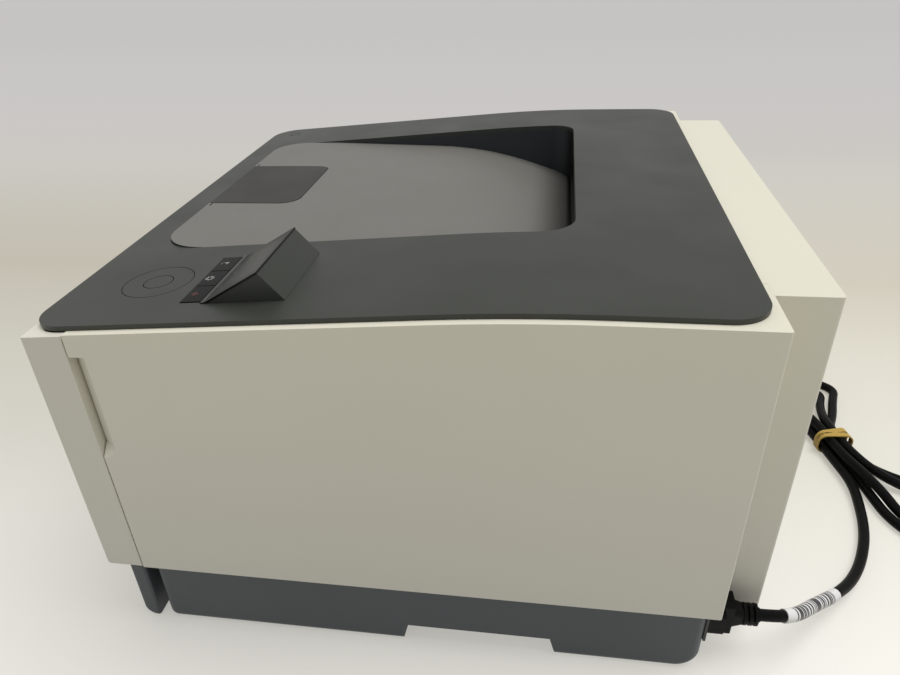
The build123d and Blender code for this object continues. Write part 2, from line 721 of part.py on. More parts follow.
def left_frame_plate():
    """Mirror of the right plate, with the stub axle of the reduction gear and the motor's hole."""
    part = mirror(right_frame_plate(), Plane.YZ)
    outer = -frame_half - frame_thick
    part += rod_x(outer - motor_long - gear_wide - 3, outer + 0.5, gear_y(), motor_z, shaft_radius)
    return part - rod_x(outer - 1, outer + frame_thick + 1, motor_y, motor_z, 4.0)


def gear_y():
    """The reduction gear stands one centre distance in front of the motor."""
    return motor_y - gear_module * (pinion_teeth + gear_teeth) / 2


def roller(y, z, radius, half_long):
    """Roller on a steel shaft that runs in both side plates."""
    part = rod_x(-half_long, half_long, y, z, radius)
    return part + rod_x(-frame_half - frame_thick - 4, frame_half + frame_thick + 4, y, z, shaft_radius)


def pickup_roller():
    """Feed roller in the middle of its shaft, with a flat on the side away from the paper."""
    part = rod_x(-24, 24, pickup_y, pickup_z, pickup_radius)
    part -= box(-25, 25, pickup_y - 20, pickup_y + 20, pickup_z + pickup_radius - 4, pickup_z + 20)
    reach = frame_half + frame_thick + 4
    return part + rod_x(-reach, reach, pickup_y, pickup_z, shaft_radius)


def exit_roller():
    """Four rubber tyres on one shaft behind the exit mouth."""
    part = rod_x(-frame_half - frame_thick - 4, frame_half + frame_thick + 4, exit_y, exit_z, shaft_radius)
    for x in (-84, -34, 16, 66):
        part += rod_x(x - 7, x + 7, exit_y, exit_z, exit_radius)
    return part


def transfer_belt():
    """Endless belt round its two rollers."""
    return belt_loop(belt_roller_radius + belt_thick) - belt_loop(belt_roller_radius + 0.02)


def belt_loop(radius):
    """Solid slot shape round the belt's two rollers."""
    middle = Plane.YZ.offset(-belt_width / 2) * Pos((belt_front_y + belt_rear_y) / 2, belt_z)
    return extrude(middle * SlotCenterToCenter(belt_rear_y - belt_front_y, 2 * radius), belt_width, dir=(1, 0, 0))


def fuser_frame():
    """Housing of the fuser, open where the paper passes and held between the side plates."""
    y0, y1 = fuser_y() - fuser_radius - 4, pressure_y() + pressure_radius + 4
    z0, z1 = fuser_z - pressure_radius - 5, fuser_z + pressure_radius + 9
    inner = frame_half - 14
    part = box(-frame_half, frame_half, y0, y1, z0, z1) - box(-inner, inner, y0 + 2, y1 - 2, z0 + 2, z1 - 2)
    part -= box(16 - inner, inner - 16, nip_y - 5, nip_y + 5, z0 - 1, z1 + 1)
    shafts = [(fuser_y(), fuser_z), (pressure_y(), fuser_z)]
    return bores_x(part, shafts, shaft_radius + 3.3, -half_width, half_width)


def laser_scanner():
    """Closed scanner box above the cartridges, with ears on the side plates and a hub for its mirror."""
    x = scanner_half
    part = box(-x, x, scanner_front_y, scanner_rear_y, scanner_bottom, scanner_top)
    part -= box(-x + skin, x - skin, scanner_front_y + skin, scanner_rear_y - skin, scanner_bottom + skin,
                scanner_top - skin)
    for i in range(4):
        y = toner_first_y + i * toner_pitch + 14
        if scanner_front_y + 6 < y < scanner_rear_y - 6:
            part -= box(22 - x, x - 22, y - 2.5, y + 2.5, scanner_bottom - 1, scanner_bottom + 3)
    for y in (scanner_front_y + 20, scanner_rear_y - 20):
        part += box(-frame_half, -x + 1, y - 8, y + 8, scanner_bottom + 3, scanner_bottom + 6)
        part += box(x - 1, frame_half, y - 8, y + 8, scanner_bottom + 3, scanner_bottom + 6)
    middle = (scanner_front_y + scanner_rear_y) / 2
    return part + rod_z(scanner_bottom + 2, scanner_bottom + 18, 0, middle, 3.0)


def polygon_mirror():
    """Spinning mirror of the scanner on its hub."""
    middle = (scanner_front_y + scanner_rear_y) / 2
    body = extrude(Pos(0, middle, scanner_bottom + 8) * RegularPolygon(mirror_across / 2, 6), 8)
    body += rod_z(scanner_bottom + 5, scanner_bottom + 8, 0, middle, 11)
    return body - rod_z(scanner_bottom, scanner_bottom + 20, 0, middle, 3.0 + bore_gap)


def toner_y(index):
    """Centre of each cartridge, from the front."""
    return toner_first_y + index * toner_pitch


def drum_z():
    """Drum centre, so that the drum just clears the belt."""
    return belt_z + belt_roller_radius + belt_thick + slip + drum_radius


def cartridge_drawer():
    """Tray that carries the four cartridges: an open floor, low walls and a tall front with a grip."""
    x, top = drawer_half, drawer_bottom + drawer_high
    part = box(-x, x, drawer_front_y, drawer_rear_y, drawer_bottom, top)
    part -= box(-x + drawer_wall, x - drawer_wall, drawer_front_y + drawer_wall, drawer_rear_y - drawer_wall,
                drawer_bottom + drawer_wall, top + 1)
    lip = box(-x, x, drawer_front_y, drawer_front_y + 4, drawer_bottom, drawer_bottom + drawer_lip_high)
    lip = round_edges(lip, Axis.Y, 8.0, lambda c: c.Z > drawer_bottom + 10)
    part += lip
    part -= box(-36, 36, drawer_front_y - 1, drawer_front_y + 5, drawer_bottom + 30, drawer_bottom + 48)
    for i in range(4):
        part -= box(-drum_long / 2 - 1, drum_long / 2 + 1, toner_y(i) - drum_radius - 2, toner_y(i) + drum_radius + 2,
                    drawer_bottom - 1, drawer_bottom + drawer_wall + 1)
    return part


def toner_cartridge(index):
    """Hopper with end cheeks that hold the drum and a grip on top."""
    y, x = toner_y(index), toner_long / 2
    seat = drawer_bottom + drawer_wall
    low = drum_z() + drum_radius + 1.0
    top = seat + toner_high
    points = [(y - 22, low), (y + 22, low), (y + 22, low + 0.75 * (top - low), 0.12 * toner_high),
              (y + 6, top, 0.06 * toner_high), (y - 22, top, 0.12 * toner_high)]
    part = prism_x(points, -x, x)
    for side in (-1, 1):
        x0, x1 = sorted((side * (drum_long / 2 + slip + 0.5), side * x))
        cheek = box(x0, x1, y - 20, y + 20, seat, low + 1)
        part += cheek
    part -= rod_x(-x + 2, x - 2, y, drum_z(), shaft_radius + bore_gap)
    return part + box(-30, 30, y - 14, y - 10, seat + toner_high - 0.5, seat + toner_high + 4)


def drum(index):
    """Photoconductor drum with its journals in the cheeks."""
    y = toner_y(index)
    part = rod_x(-drum_long / 2, drum_long / 2, y, drum_z(), drum_radius)
    return part + rod_x(-toner_long / 2 + 2.5, toner_long / 2 - 2.5, y, drum_z(), shaft_radius)


def gear(teeth, wide, bore):
    """Spur gear along Z at the origin, first tooth toward +Y."""
    pitch_r = gear_module * teeth / 2
    root, tip = pitch_r - 1.25 * gear_module, pitch_r + 0.9 * gear_module
    step = 2 * pi / teeth
    half = tooth_share * step / 2
    points = []
    for i in range(teeth):
        for turn, radius in ((-1.3 * half, root), (-half, pitch_r), (-0.5 * half, tip), (0.5 * half, tip),
                             (half, pitch_r), (1.3 * half, root)):
            a = i * step + turn
            points.append((-radius * sin(a), radius * cos(a)))
    face = outline(points)
    return extrude(face - Circle(bore), wide) if bore else extrude(face, wide)


def on_x(part, x, y, z, turn=0.0):
    """Stand a part made along Z on the X axis at a place, turned by some degrees."""
    return Plane(origin=(x, y, z), x_dir=(0, 1, 0), z_dir=(1, 0, 0)) * Rot(0, 0, turn) * part


def motor_pinion():
    """Pinion on the motor's shaft."""
    outer = -frame_half - frame_thick
    x = outer - motor_long - gear_wide - 1
    part = on_x(gear(pinion_teeth, gear_wide, 0.0), x, motor_y, motor_z, 0.0)
    return part + rod_x(x + 1, outer + 1, motor_y, motor_z, 1.5)


def reduction_gear():
    """Gear that takes the motor's turns down, half a tooth out so that it meshes."""
    outer = -frame_half - frame_thick
    x = outer - motor_long - gear_wide - 1
    turn = 270 + 90 * pinion_teeth / gear_teeth + 180 / gear_teeth
    return on_x(gear(gear_teeth, gear_wide, shaft_radius + bore_gap), x, gear_y(), motor_z, turn)


def main_motor():
    """Flat motor on the outside of the left side plate."""
    outer = -frame_half - frame_thick
    part = rod_x(outer - motor_long, outer, motor_y, motor_z, motor_radius)
    part += box(outer - 2, outer, motor_y - 16, motor_y + 30, motor_z - 27, motor_z + 27)
    return part - rod_x(outer - motor_long - 1, outer + 1, motor_y, motor_z, 1.5 + bore_gap)


def fan_housing():
    """Square fan frame against the inside of the left panel, with a hub on three arms."""
    x0 = -half_width + skin
    half = fan_size / 2
    part = box(x0, x0 + fan_thick, fan_y - half, fan_y + half, fan_z - half, fan_z + half)
    part -= rod_x(x0 - 1, x0 + fan_thick + 1, fan_y, fan_z, half - 2)
    part += rod_x(x0 + fan_thick - 3, x0 + fan_thick, fan_y, fan_z, 12)
    for i in range(3):
        arm = Pos(0, half / 2 + 2, fan_thick - 1.5) * Box(3, half - 2, 3)
        part += on_x(Rot(0, 0, 120 * i) * arm, x0, fan_y, fan_z)
    return part + rod_x(x0 + 2, x0 + fan_thick - 2, fan_y, fan_z, 2.0)


def fan_rotor():
    """Fan wheel on the hub's pin."""
    x0 = -half_width + skin
    part = rod_x(x0 + 2, x0 + fan_thick - 3 - slip, fan_y, fan_z, 11)
    reach = fan_size / 2 - 3.5
    for i in range(fan_blades):
        blade = Pos(0, (reach + 10) / 2, 6.5) * Rot(0, 35, 0) * Box(9, reach - 10, 1.2)
        part += on_x(Rot(0, 0, 360 / fan_blades * i) * blade, x0, fan_y, fan_z)
    return part - rod_x(x0, x0 + fan_thick, fan_y, fan_z, 2.0 + bore_gap)


def power_supply_board():
    """Supply board on posts outside the right side plate."""
    x = frame_half + frame_thick
    part = box(x + 5, x + 5 + board_thick, 20, 140, 60, 122)
    for y in (26, 134):
        for z in (66, 116):
            part += rod_x(x, x + 5.5, y, z, 3)
    part += box(x + 5, x + 26, 84, 112, 76, 104)
    for y, z in ((40, 78), (40, 104), (62, 78)):
        part += rod_x(x + 5, x + 24, y, z, 9)
    return part


def main_board():
    """Controller board outside the left side plate, with its two ports at the rear."""
    x = -frame_half - frame_thick
    part = box(x - 5 - board_thick, x - 5, 66, 152, 58, 112)
    for y in (72, 140):
        for z in (64, 106):
            part += rod_x(x - 5.5, x, y, z, 3)
    for z0, high, wide in ((port_low_z, 11, 12), (port_high_z - 14, 14, 16)):
        shell = box(x - 5 - wide, x - 5, panel_rear_y - 22, panel_rear_y, z0, z0 + high)
        shell -= box(x - 5 - wide + 1.5, x - 6.5, panel_rear_y - 12, panel_rear_y + 1, z0 + 1.5, z0 + high - 1.5)
        part += shell
    return part + box(x - 9, x - 5, 90, 112, 76, 98)


def paper_tray():
    """Open tray with its rounded front panel and the pull under it."""
    x, top = tray_half, tray_bottom + tray_side_high
    part = box(-x, x, tray_front_y + tray_front_thick - 1, tray_rear_y, tray_bottom, top)
    part -= box(-x + tray_wall, x - tray_wall, tray_front_y + tray_front_thick + 2, tray_rear_y - tray_wall,
                tray_bottom + tray_wall, top + 1)
    back = tray_front_y + tray_front_thick
    face = prism_x([(tray_front_y, tray_face_low, tray_lip_radius), (back, tray_face_low, 2.0),
                    (back, tray_front_top), (tray_front_y, tray_front_top, 1.0)], -base_half, base_half)
    face = round_edges(face, Axis.Z, 2.0, lambda c: True)
    part += face
    part -= box(-45, 45, tray_front_y - 1, back - 2.5, 0, 16)
    part += box(-20, 20, tray_rear_y - 28, tray_rear_y - 14, tray_bottom + 1, pad_low_z)
    for side in (-1, 1):
        part += rod_x(*sorted((side * (lift_half + slip), side * (lift_half + 4))), lift_front_y, lift_pivot_z(), 3.5)
        part += box(*sorted((side * (lift_half + slip), side * (lift_half + 4))), lift_front_y - 3.5,
                    lift_front_y + 3.5, tray_bottom + 1, lift_pivot_z())
    return bores_x(part, [(lift_front_y, lift_pivot_z())], 1.5 + bore_gap, -lift_half - 5, lift_half + 5)


def lift_pivot_z():
    """Pivot of the lifting plate, just above the tray's floor."""
    return tray_bottom + tray_wall + 3.0


def lift_plate():
    """Steel plate that lifts the leading edge of the paper to the feed roller."""
    z = lift_pivot_z()
    part = box(-lift_half, lift_half, lift_front_y, lift_rear_y, z - 0.75, z + 0.75)
    part += rod_x(-lift_half, lift_half, lift_front_y, z, 2.2)
    return part + rod_x(-lift_half - 3.5, lift_half + 3.5, lift_front_y, z, 1.5)


def separation_pad():
    """Pad on its seat at the tray's rear, under the feed roller."""
    return box(-18, 18, tray_rear_y - 27, tray_rear_y - 15, pad_low_z, pad_low_z + 2)


def paper_guide(side):
    """Width guide: a wall beside the sheet and a foot that slides across the tray's floor."""
    floor = tray_bottom + tray_wall + 0.1
    wall = box(guide_x, guide_x + guide_thick, guide_front_y, guide_front_y + guide_long, floor, floor + guide_high)
    foot = box(guide_x + 1, tray_half - tray_wall - guide_foot_gap, guide_front_y + 15,
               guide_front_y + guide_long - 15, floor, floor + 2)
    part = wall + foot
    return part if side > 0 else mirror(part, Plane.YZ)


def inlet_socket():
    """Mains inlet in the base's rear wall: a flange, a shell round the connector and three blades."""
    y1 = base_rear_y + 1.5
    half, high = inlet_half + inlet_lip, inlet_high / 2 + inlet_lip
    part = box(inlet_x - half, inlet_x + half, base_rear_y, y1, inlet_z - high, inlet_z + high)
    part += box(inlet_x - inlet_half, inlet_x + inlet_half, base_rear_y - 20, y1, inlet_z - inlet_high / 2,
                inlet_z + inlet_high / 2)
    nose = plug_half + 0.4, plug_high / 2 + 0.4
    part -= box(inlet_x - nose[0], inlet_x + nose[0], y1 - plug_in_depth, y1 + 1, inlet_z - nose[1],
                inlet_z + nose[1])
    for dx, dz in blade_places():
        part += box(inlet_x + dx - 1, inlet_x + dx + 1, y1 - plug_in_depth - 1, y1 - 4, inlet_z + dz - 2,
                    inlet_z + dz + 2)
    return part


def blade_places():
    """Offsets of the three blades."""
    return [(-7.0, -1.8), (7.0, -1.8), (0.0, 2.0)]


def cord_connector():
    """Moulded connector in the inlet, with its grip and ribbed relief."""
    y1 = base_rear_y + 1.5
    grip_y = y1 + plug_grip_rise
    neck_y = grip_y + plug_grip_thick - 1
    part = box(inlet_x - plug_half, inlet_x + plug_half, y1 - plug_in_depth, grip_y + 1, inlet_z - plug_high / 2,
               inlet_z + plug_high / 2)
    part = round_edges(part, Axis.Y, 2.0, lambda c: True)
    grip = box(inlet_x - plug_grip_half, inlet_x + plug_grip_half, grip_y, grip_y + plug_grip_thick,
               inlet_z - plug_grip_high / 2, inlet_z + plug_grip_high / 2)
    part += round_edges(grip, Axis.Y, 3.0, lambda c: True)
    neck = loft([Plane.XZ.offset(-neck_y) * Pos(inlet_x, inlet_z) * RectangleRounded(13, 15, 4),
                 Plane.XZ.offset(-neck_y - 7) * Pos(inlet_x, inlet_z) * RectangleRounded(11, 11, 4)])
    part += neck
    part += rod_y(neck_y + 6, cord_start_y(), inlet_x, inlet_z, cord_diameter / 2 + 0.6)
    for i in range(3):
        y = y1 + 20.5 + i * 3.0
        part += rod_y(y, y + 1.8, inlet_x, inlet_z, rib_radius)
    for dx, dz in blade_places():
        part -= box(inlet_x + dx - 1.3, inlet_x + dx + 1.3, y1 - plug_in_depth - 1, y1 - 3, inlet_z + dz - 2.3,
                    inlet_z + dz + 2.3)
    return part


def cord_start_y():
    """Where the cord leaves the connector's relief."""
    return base_rear_y + 1.5 + relief_end


def case_screws():
    """Screws that hold the rear housing, in their recesses."""
    seat_y = rear_y - 7.5
    return [rod_y(seat_y, seat_y + 2.4, x, z, screw_head_radius) + rod_y(seat_y - 12, seat_y + 0.5, x, z, screw_radius)
            - Pos(x, seat_y + 2.4, z) * Box(1.2, 2.0, 4.6) - Pos(x, seat_y + 2.4, z) * Box(4.6, 2.0, 1.2)
            for x, z in screw_places()]


def fillet_radii(points):
    """Radius of the arc at each inner point of a cord's route."""
    radii = []
    for before, here, after in zip(points, points[1:], points[2:]):
        into, out = here - before, after - here
        half_turn = radians(into.get_angle(out)) / 2
        radii.append(0.45 * min(into.length, out.length) / tan(half_turn))
    return radii


def tube(name, points):
    """Round cord along straight runs joined by tangent arcs."""
    points = [Vector(*p) for p in points]
    radii = fillet_radii(points)
    path = FilletPolyline(*points, radius=radii)
    section = Plane(origin=path @ 0, z_dir=path % 0) * Circle(cord_diameter / 2)
    part = sweep(section, path=path)
    plain = pi * cord_diameter ** 2 / 4 * path.length
    print(name, "length", round(path.length, 1), "volume over plain", round(part.volume / plain, 4),
          "least radius", round(min(radii), 1))
    return part, path


def least_gap(path):
    """Smallest gap between two stretches of a cord that aren't neighbours along it."""
    steps = int(path.length / 2.0)
    marks = [path @ (i / steps) for i in range(steps + 1)]
    apart = int(3 * cord_diameter / 2.0)
    gap = min((a - b).length for i, a in enumerate(marks) for b in marks[i + apart:])
    return gap - cord_diameter


# five strands through the tie, two bights on its left and two on its right, then the plug's tail
low, mid, top = 3.8, 5.1, 12.1
tie_pass = 20.0
hank_route = [(tie_pass, -7.6, mid), (-tie_pass, -7.6, mid), (-44, -16, low), (-70, -18.5, low),
              (-97, -17.5, low), (-97, 17, low), (-72, 18, low), (-44, 16.5, low), (-tie_pass, 7.6, mid),
              (tie_pass, 7.6, mid), (48, 18, low), (82, 34, low), (120, 37, low), (152, 27, low),
              (152, -19, low), (120, -29, low), (82, -27, low), (48, -7, low), (tie_pass, 0, mid),
              (-tie_pass, 0, mid), (-42, -4.5, low), (-62, -8, low), (-80, -7.6, low), (-80, 8.6, low),
              (-62, 8, low), (-42, 6.5, 7.5), (-tie_pass, 3.8, top), (tie_pass, 3.8, top), (46, 8, 8.5),
              (74, 20, low), (104, 26, low), (133, 17, low), (133, -10, low), (104, -18, low),
              (80, -15, 5.3), (62, -9.5, 11.5), (42, -5.5, 13.0), (tie_pass, -3.8, top),
              (-tie_pass, -3.8, top), (-38, -13, 13.0), (-54, -30, 9.0), (-60, -52, low), (-74, -74, low),
              (-98, -84, low)]


def hank_at(u, v, z):
    """Point of the hank: u along its bent middle line from the tie, v across it, z up."""
    a = radians(hank_turn)
    centre = Vector(tie_x - hank_bend * sin(a), tie_y + hank_bend * cos(a), 0)
    b = a + u / hank_bend
    return centre + Vector(sin(b), -cos(b), 0) * (hank_bend - v) + Vector(0, 0, z)


def lead_points():
    """Route of the free lead, from the connector to the hank."""
    first = (inlet_x, cord_start_y(), inlet_z)
    joint = hank_at(*hank_route[0])
    way = (joint - hank_at(*hank_route[1])).normalized()
    return [first, (inlet_x, cord_start_y() + 11, inlet_z), (164.5, 213, 27.5), (149, 228, 19.5),
            (134, 245, 12.5), (116, 262, 7), (93, 276, 4.2), (65, 287, 3.8), (34, 292.5, 3.8),
            joint + way * 24, joint]


def hank_points():
    """Route of the hank through the tie and round its bights."""
    return [hank_at(*r) for r in hank_route]


def cord_tie():
    """Rubber band round the five strands."""
    out = RectangleRounded(26.6, 17.0, 6.5)
    inner = RectangleRounded(24.2, 14.6, 5.3)
    middle = (hank_at(tie_pass, 0, 8.6) + hank_at(-tie_pass, 0, 8.6)) / 2
    a = radians(hank_turn)
    plane = Plane(origin=middle, x_dir=(-sin(a), cos(a), 0), z_dir=(cos(a), sin(a), 0))
    return extrude(plane * (out - inner), 5, both=True)


def mains_plug(path):
    """Moulded plug on the end of the cord, lying on the desk, with two blades and an earth pin."""
    end, way = path @ 1, path % 1
    plane = Plane(origin=end, x_dir=Vector(0, 0, 1).cross(way), z_dir=way)
    relief = plane * extrude(Circle(cord_diameter / 2 + 0.1), 22)
    neck_radius = 7.4
    neck_rise = neck_radius - end.Z + 0.1
    neck = plane * Pos(0, 0, 12) * loft([Circle(cord_diameter / 2 + 0.2),
                                         Pos(0, neck_rise, 12) * Circle(neck_radius)])
    part = relief + neck
    lift = plug_body_high / 2 - end.Z + 0.1
    face = RectangleRounded(25.0, plug_body_high, 6.0)
    part += plane * Pos(0, lift, 22) * extrude(face, 26)
    for x in (-6.3, 6.3):
        part += plane * Pos(x, lift, 46) * extrude(Rectangle(1.5, 6.3), 20)
    return part + plane * Pos(0, lift - 6.5, 46) * extrude(Circle(2.4), 22)


def write(name, part):
    """Write one named piece as a STEP file."""
    solids = part if isinstance(part, list) else part.solids()
    whole = Compound(children=list(solids)) if len(solids) > 1 else solids[0]
    export_step(whole, "parts/" + name + ".step")


def build():
    """Make every piece and write it."""
    os.makedirs("parts", exist_ok=True)
    write("base_frame", base_frame())
    write("rubber_feet", rubber_feet())
    write("right_side_panel", side_panel())
    write("left_side_panel", left_side_panel())
    write("top_cover", top_cover())
    write("output_bin", output_bin())
    write("paper_stop_flap", paper_stop_flap())
    write("front_door", front_door())
    write("rear_housing", rear_housing())
    write("rear_door", rear_door())
    write("case_screws", case_screws())
    write("display_housing", display_housing())
    write("display_window", display_window())
    for name, edges in zip(("back_key", "setup_key", "cancel_key"), key_edges()):
        write(name, key(*edges))
    write("arrow_ring", arrow_ring())
    write("ok_button", round_button(ring_x, ring_y, ok_radius))
    write("power_button", round_button(power_x, power_y, power_radius))
    write("control_board", control_board())
    write("right_frame_plate", right_frame_plate())
    write("left_frame_plate", left_frame_plate())
    write("laser_scanner", laser_scanner())
    write("polygon_mirror", polygon_mirror())
    write("cartridge_drawer", cartridge_drawer())
    for i, color in enumerate(("yellow", "magenta", "cyan", "black")):
        write("toner_cartridge_" + color, toner_cartridge(i))
        write("drum_" + color, drum(i))
    write("transfer_belt", transfer_belt())
    write("belt_front_roller", roller(belt_front_y, belt_z, belt_roller_radius, belt_width / 2 + 2))
    write("belt_drive_roller", roller(belt_rear_y, belt_z, belt_roller_radius, belt_width / 2 + 2))
    write("transfer_roller", roller(transfer_y(), belt_z, transfer_radius, belt_width / 2 - 10))
    write("fuser_frame", fuser_frame())
    write("fuser_roller", roller(fuser_y(), fuser_z, fuser_radius, belt_width / 2 - 7))
    write("pressure_roller", roller(pressure_y(), fuser_z, pressure_radius, belt_width / 2 - 7))
    write("pickup_roller", pickup_roller())
    write("exit_roller", exit_roller())
    write("main_motor", main_motor())
    write("motor_pinion", motor_pinion())
    write("reduction_gear", reduction_gear())
    write("fan_housing", fan_housing())
    write("fan_rotor", fan_rotor())
    write("power_supply_board", power_supply_board())
    write("main_board", main_board())
    write("paper_tray", paper_tray())
    write("lift_plate", lift_plate())
    write("separation_pad", separation_pad())
    write("right_paper_guide", paper_guide(1))
    write("left_paper_guide", paper_guide(-1))
    write("inlet_socket", inlet_socket())
    write("cord_connector", cord_connector())
    write("cord_lead", tube("lead", lead_points())[0])
    hank, hank_path = tube("hank", hank_points())
    print("hank's least gap to itself", round(least_gap(hank_path), 2))
    write("cord_hank", hank)
    write("cord_tie", cord_tie())
    write("mains_plug", mains_plug(hank_path))


build()
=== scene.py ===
import json
import math
import bmesh
import bpy
from mathutils import Matrix, Vector

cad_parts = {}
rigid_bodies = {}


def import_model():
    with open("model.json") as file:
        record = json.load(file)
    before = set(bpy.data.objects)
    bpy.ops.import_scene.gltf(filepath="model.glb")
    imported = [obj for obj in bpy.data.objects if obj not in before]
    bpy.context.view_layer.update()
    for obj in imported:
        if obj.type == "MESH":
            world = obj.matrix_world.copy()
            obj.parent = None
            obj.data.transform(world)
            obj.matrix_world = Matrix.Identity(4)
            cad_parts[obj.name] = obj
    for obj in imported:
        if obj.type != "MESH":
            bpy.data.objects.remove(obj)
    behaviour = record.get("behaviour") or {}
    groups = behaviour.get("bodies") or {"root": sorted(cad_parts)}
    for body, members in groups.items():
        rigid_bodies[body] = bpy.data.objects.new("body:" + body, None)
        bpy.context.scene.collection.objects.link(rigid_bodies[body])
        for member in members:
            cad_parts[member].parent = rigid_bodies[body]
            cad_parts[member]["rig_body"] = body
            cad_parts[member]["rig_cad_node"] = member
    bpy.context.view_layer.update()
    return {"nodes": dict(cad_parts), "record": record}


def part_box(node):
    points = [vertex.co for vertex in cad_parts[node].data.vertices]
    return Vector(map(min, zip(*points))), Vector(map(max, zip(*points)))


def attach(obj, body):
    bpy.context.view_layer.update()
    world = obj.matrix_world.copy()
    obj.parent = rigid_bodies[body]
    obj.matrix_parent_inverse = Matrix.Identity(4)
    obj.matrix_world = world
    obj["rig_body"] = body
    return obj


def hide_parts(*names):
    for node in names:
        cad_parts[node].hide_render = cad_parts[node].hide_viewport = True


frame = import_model()
nodes = frame["nodes"]
bodyOf = {node: body for body, members in frame["record"]["behaviour"]["bodies"].items() for node in members}
print("stage: frame loaded,", len(nodes), "nodes")


# small helpers

def alone(piece):
    if bpy.context.object and bpy.context.object.mode != "OBJECT":
        bpy.ops.object.mode_set(mode="OBJECT")
    bpy.ops.object.select_all(action="DESELECT")
    piece.select_set(True)
    bpy.context.view_layer.objects.active = piece


def settle(piece, angle=32):
    alone(piece)
    for modifier in list(piece.modifiers):
        bpy.ops.object.modifier_apply(modifier=modifier.name)
    bpy.ops.object.transform_apply(location=True, rotation=True, scale=True)
    bpy.ops.object.shade_smooth_by_angle(angle=math.radians(angle))
    even = piece.modifiers.new("evenNormals", "WEIGHTED_NORMAL")
    even.keep_sharp = True
    even.weight = 60
    bpy.ops.object.modifier_apply(modifier=even.name)
    return piece


def roundEdges(piece, width, segments=2, angle=30):
    bevel = piece.modifiers.new("roundEdges", "BEVEL")
    bevel.width = width
    bevel.segments = segments
    bevel.limit_method = "ANGLE"
    bevel.angle_limit = math.radians(angle)
    bevel.harden_normals = False
    bevel.miter_outer = "MITER_ARC"
    return bevel


# narrower rounds for the sharp edges inside some boxes, given as low and high X and Y
def spareEdges(piece, bevel, boxes, share):
    bevel.limit_method = "WEIGHT"
    shape = bmesh.new()
    shape.from_mesh(piece.data)
    weight = shape.edges.layers.float.new("bevel_weight_edge")
    for edge in shape.edges:
        if len(edge.link_faces) == 2 and edge.calc_face_angle(0.0) > math.radians(30):
            x, y, z = (edge.verts[0].co + edge.verts[1].co) / 2
            spared = any(a < x < b and c < y < d for a, b, c, d in boxes)
            edge[weight] = share if spared else 1.0
    shape.to_mesh(piece.data)
    shape.free()


def finish(piece, material, body, slot, *replaced):
    piece.data.materials.clear()
    piece.data.materials.append(material)
    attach(piece, body)
    if replaced:
        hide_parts(*replaced)
    return piece


# a copy of a frame node, merged and cleaned, to be given its mould radii and details
meshClean = {"mergeGap": 0.000008, "flatAngle": 0.4}


def fromNode(node, name):
    alone(nodes[node])
    bpy.ops.object.duplicate()
    piece = bpy.context.active_object
    piece.name = name
    piece.data.name = name
    piece.parent = None
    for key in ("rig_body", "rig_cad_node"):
        del piece[key]
    bpy.ops.mesh.customdata_custom_splitnormals_clear()
    bpy.ops.object.mode_set(mode="EDIT")
    bpy.ops.mesh.select_all(action="SELECT")
    bpy.ops.mesh.remove_doubles(threshold=meshClean["mergeGap"])
    bpy.ops.mesh.dissolve_limited(angle_limit=math.radians(meshClean["flatAngle"]))
    bpy.ops.object.mode_set(mode="OBJECT")
    return piece


def block(name, low, high):
    low, high = Vector(low), Vector(high)
    bpy.ops.object.select_all(action="DESELECT")
    bpy.ops.mesh.primitive_cube_add(size=1, location=(low + high) / 2)
    piece = bpy.context.active_object
    piece.name = name
    piece.data.name = name
    piece.scale = high - low
    bpy.ops.object.transform_apply(location=False, rotation=False, scale=True)
    return piece


def disc(name, place, radius, depth, turn=(0, 0, 0), sides=48):
    bpy.ops.object.select_all(action="DESELECT")
    bpy.ops.mesh.primitive_cylinder_add(vertices=sides, radius=radius, depth=depth, location=place, rotation=turn)
    piece = bpy.context.active_object
    piece.name = name
    piece.data.name = name
    return piece


def joined(name, *parts):
    alone(parts[0])
    for part in parts[1:]:
        part.select_set(True)
    bpy.ops.object.join()
    piece = bpy.context.active_object
    piece.name = name
    piece.data.name = name
    return piece


# effects shared by the finishes

def newGroup(name, inputs, outputs):
    group = bpy.data.node_groups.new(name, "ShaderNodeTree")
    for socket, kind in inputs:
        group.interface.new_socket(name=socket, in_out="INPUT", socket_type=kind)
    for socket, kind in outputs:
        group.interface.new_socket(name=socket, in_out="OUTPUT", socket_type=kind)
    return group, group.nodes.new("NodeGroupInput"), group.nodes.new("NodeGroupOutput")


# a socket takes either a plain value or a link from another socket
def give(tree, socket, value):
    if isinstance(value, bpy.types.NodeSocket):
        tree.links.new(value, socket)
    else:
        socket.default_value = value


def mathNode(tree, operation, first, second):
    node = tree.nodes.new("ShaderNodeMath")
    node.operation = operation
    for socket, value in zip(node.inputs, (first, second)):
        give(tree, socket, value)
    return node.outputs[0]


def ranged(tree, value, start, end, low=0.0, high=1.0):
    node = tree.nodes.new("ShaderNodeMapRange")
    for name, given in (("Value", value), ("From Min", start), ("From Max", end), ("To Min", low),
                        ("To Max", high)):
        give(tree, node.inputs[name], given)
    return node.outputs["Result"]


def mixed(tree, factor, first, second):
    node = tree.nodes.new("ShaderNodeMix")
    node.data_type = "RGBA"
    for name, given in (("Factor", factor), ("A", first), ("B", second)):
        give(tree, node.inputs[name], given)
    return node.outputs["Result"]


def axesOf(tree, vector):
    node = tree.nodes.new("ShaderNodeSeparateXYZ")
    tree.links.new(vector, node.inputs["Vector"])
    return node.outputs


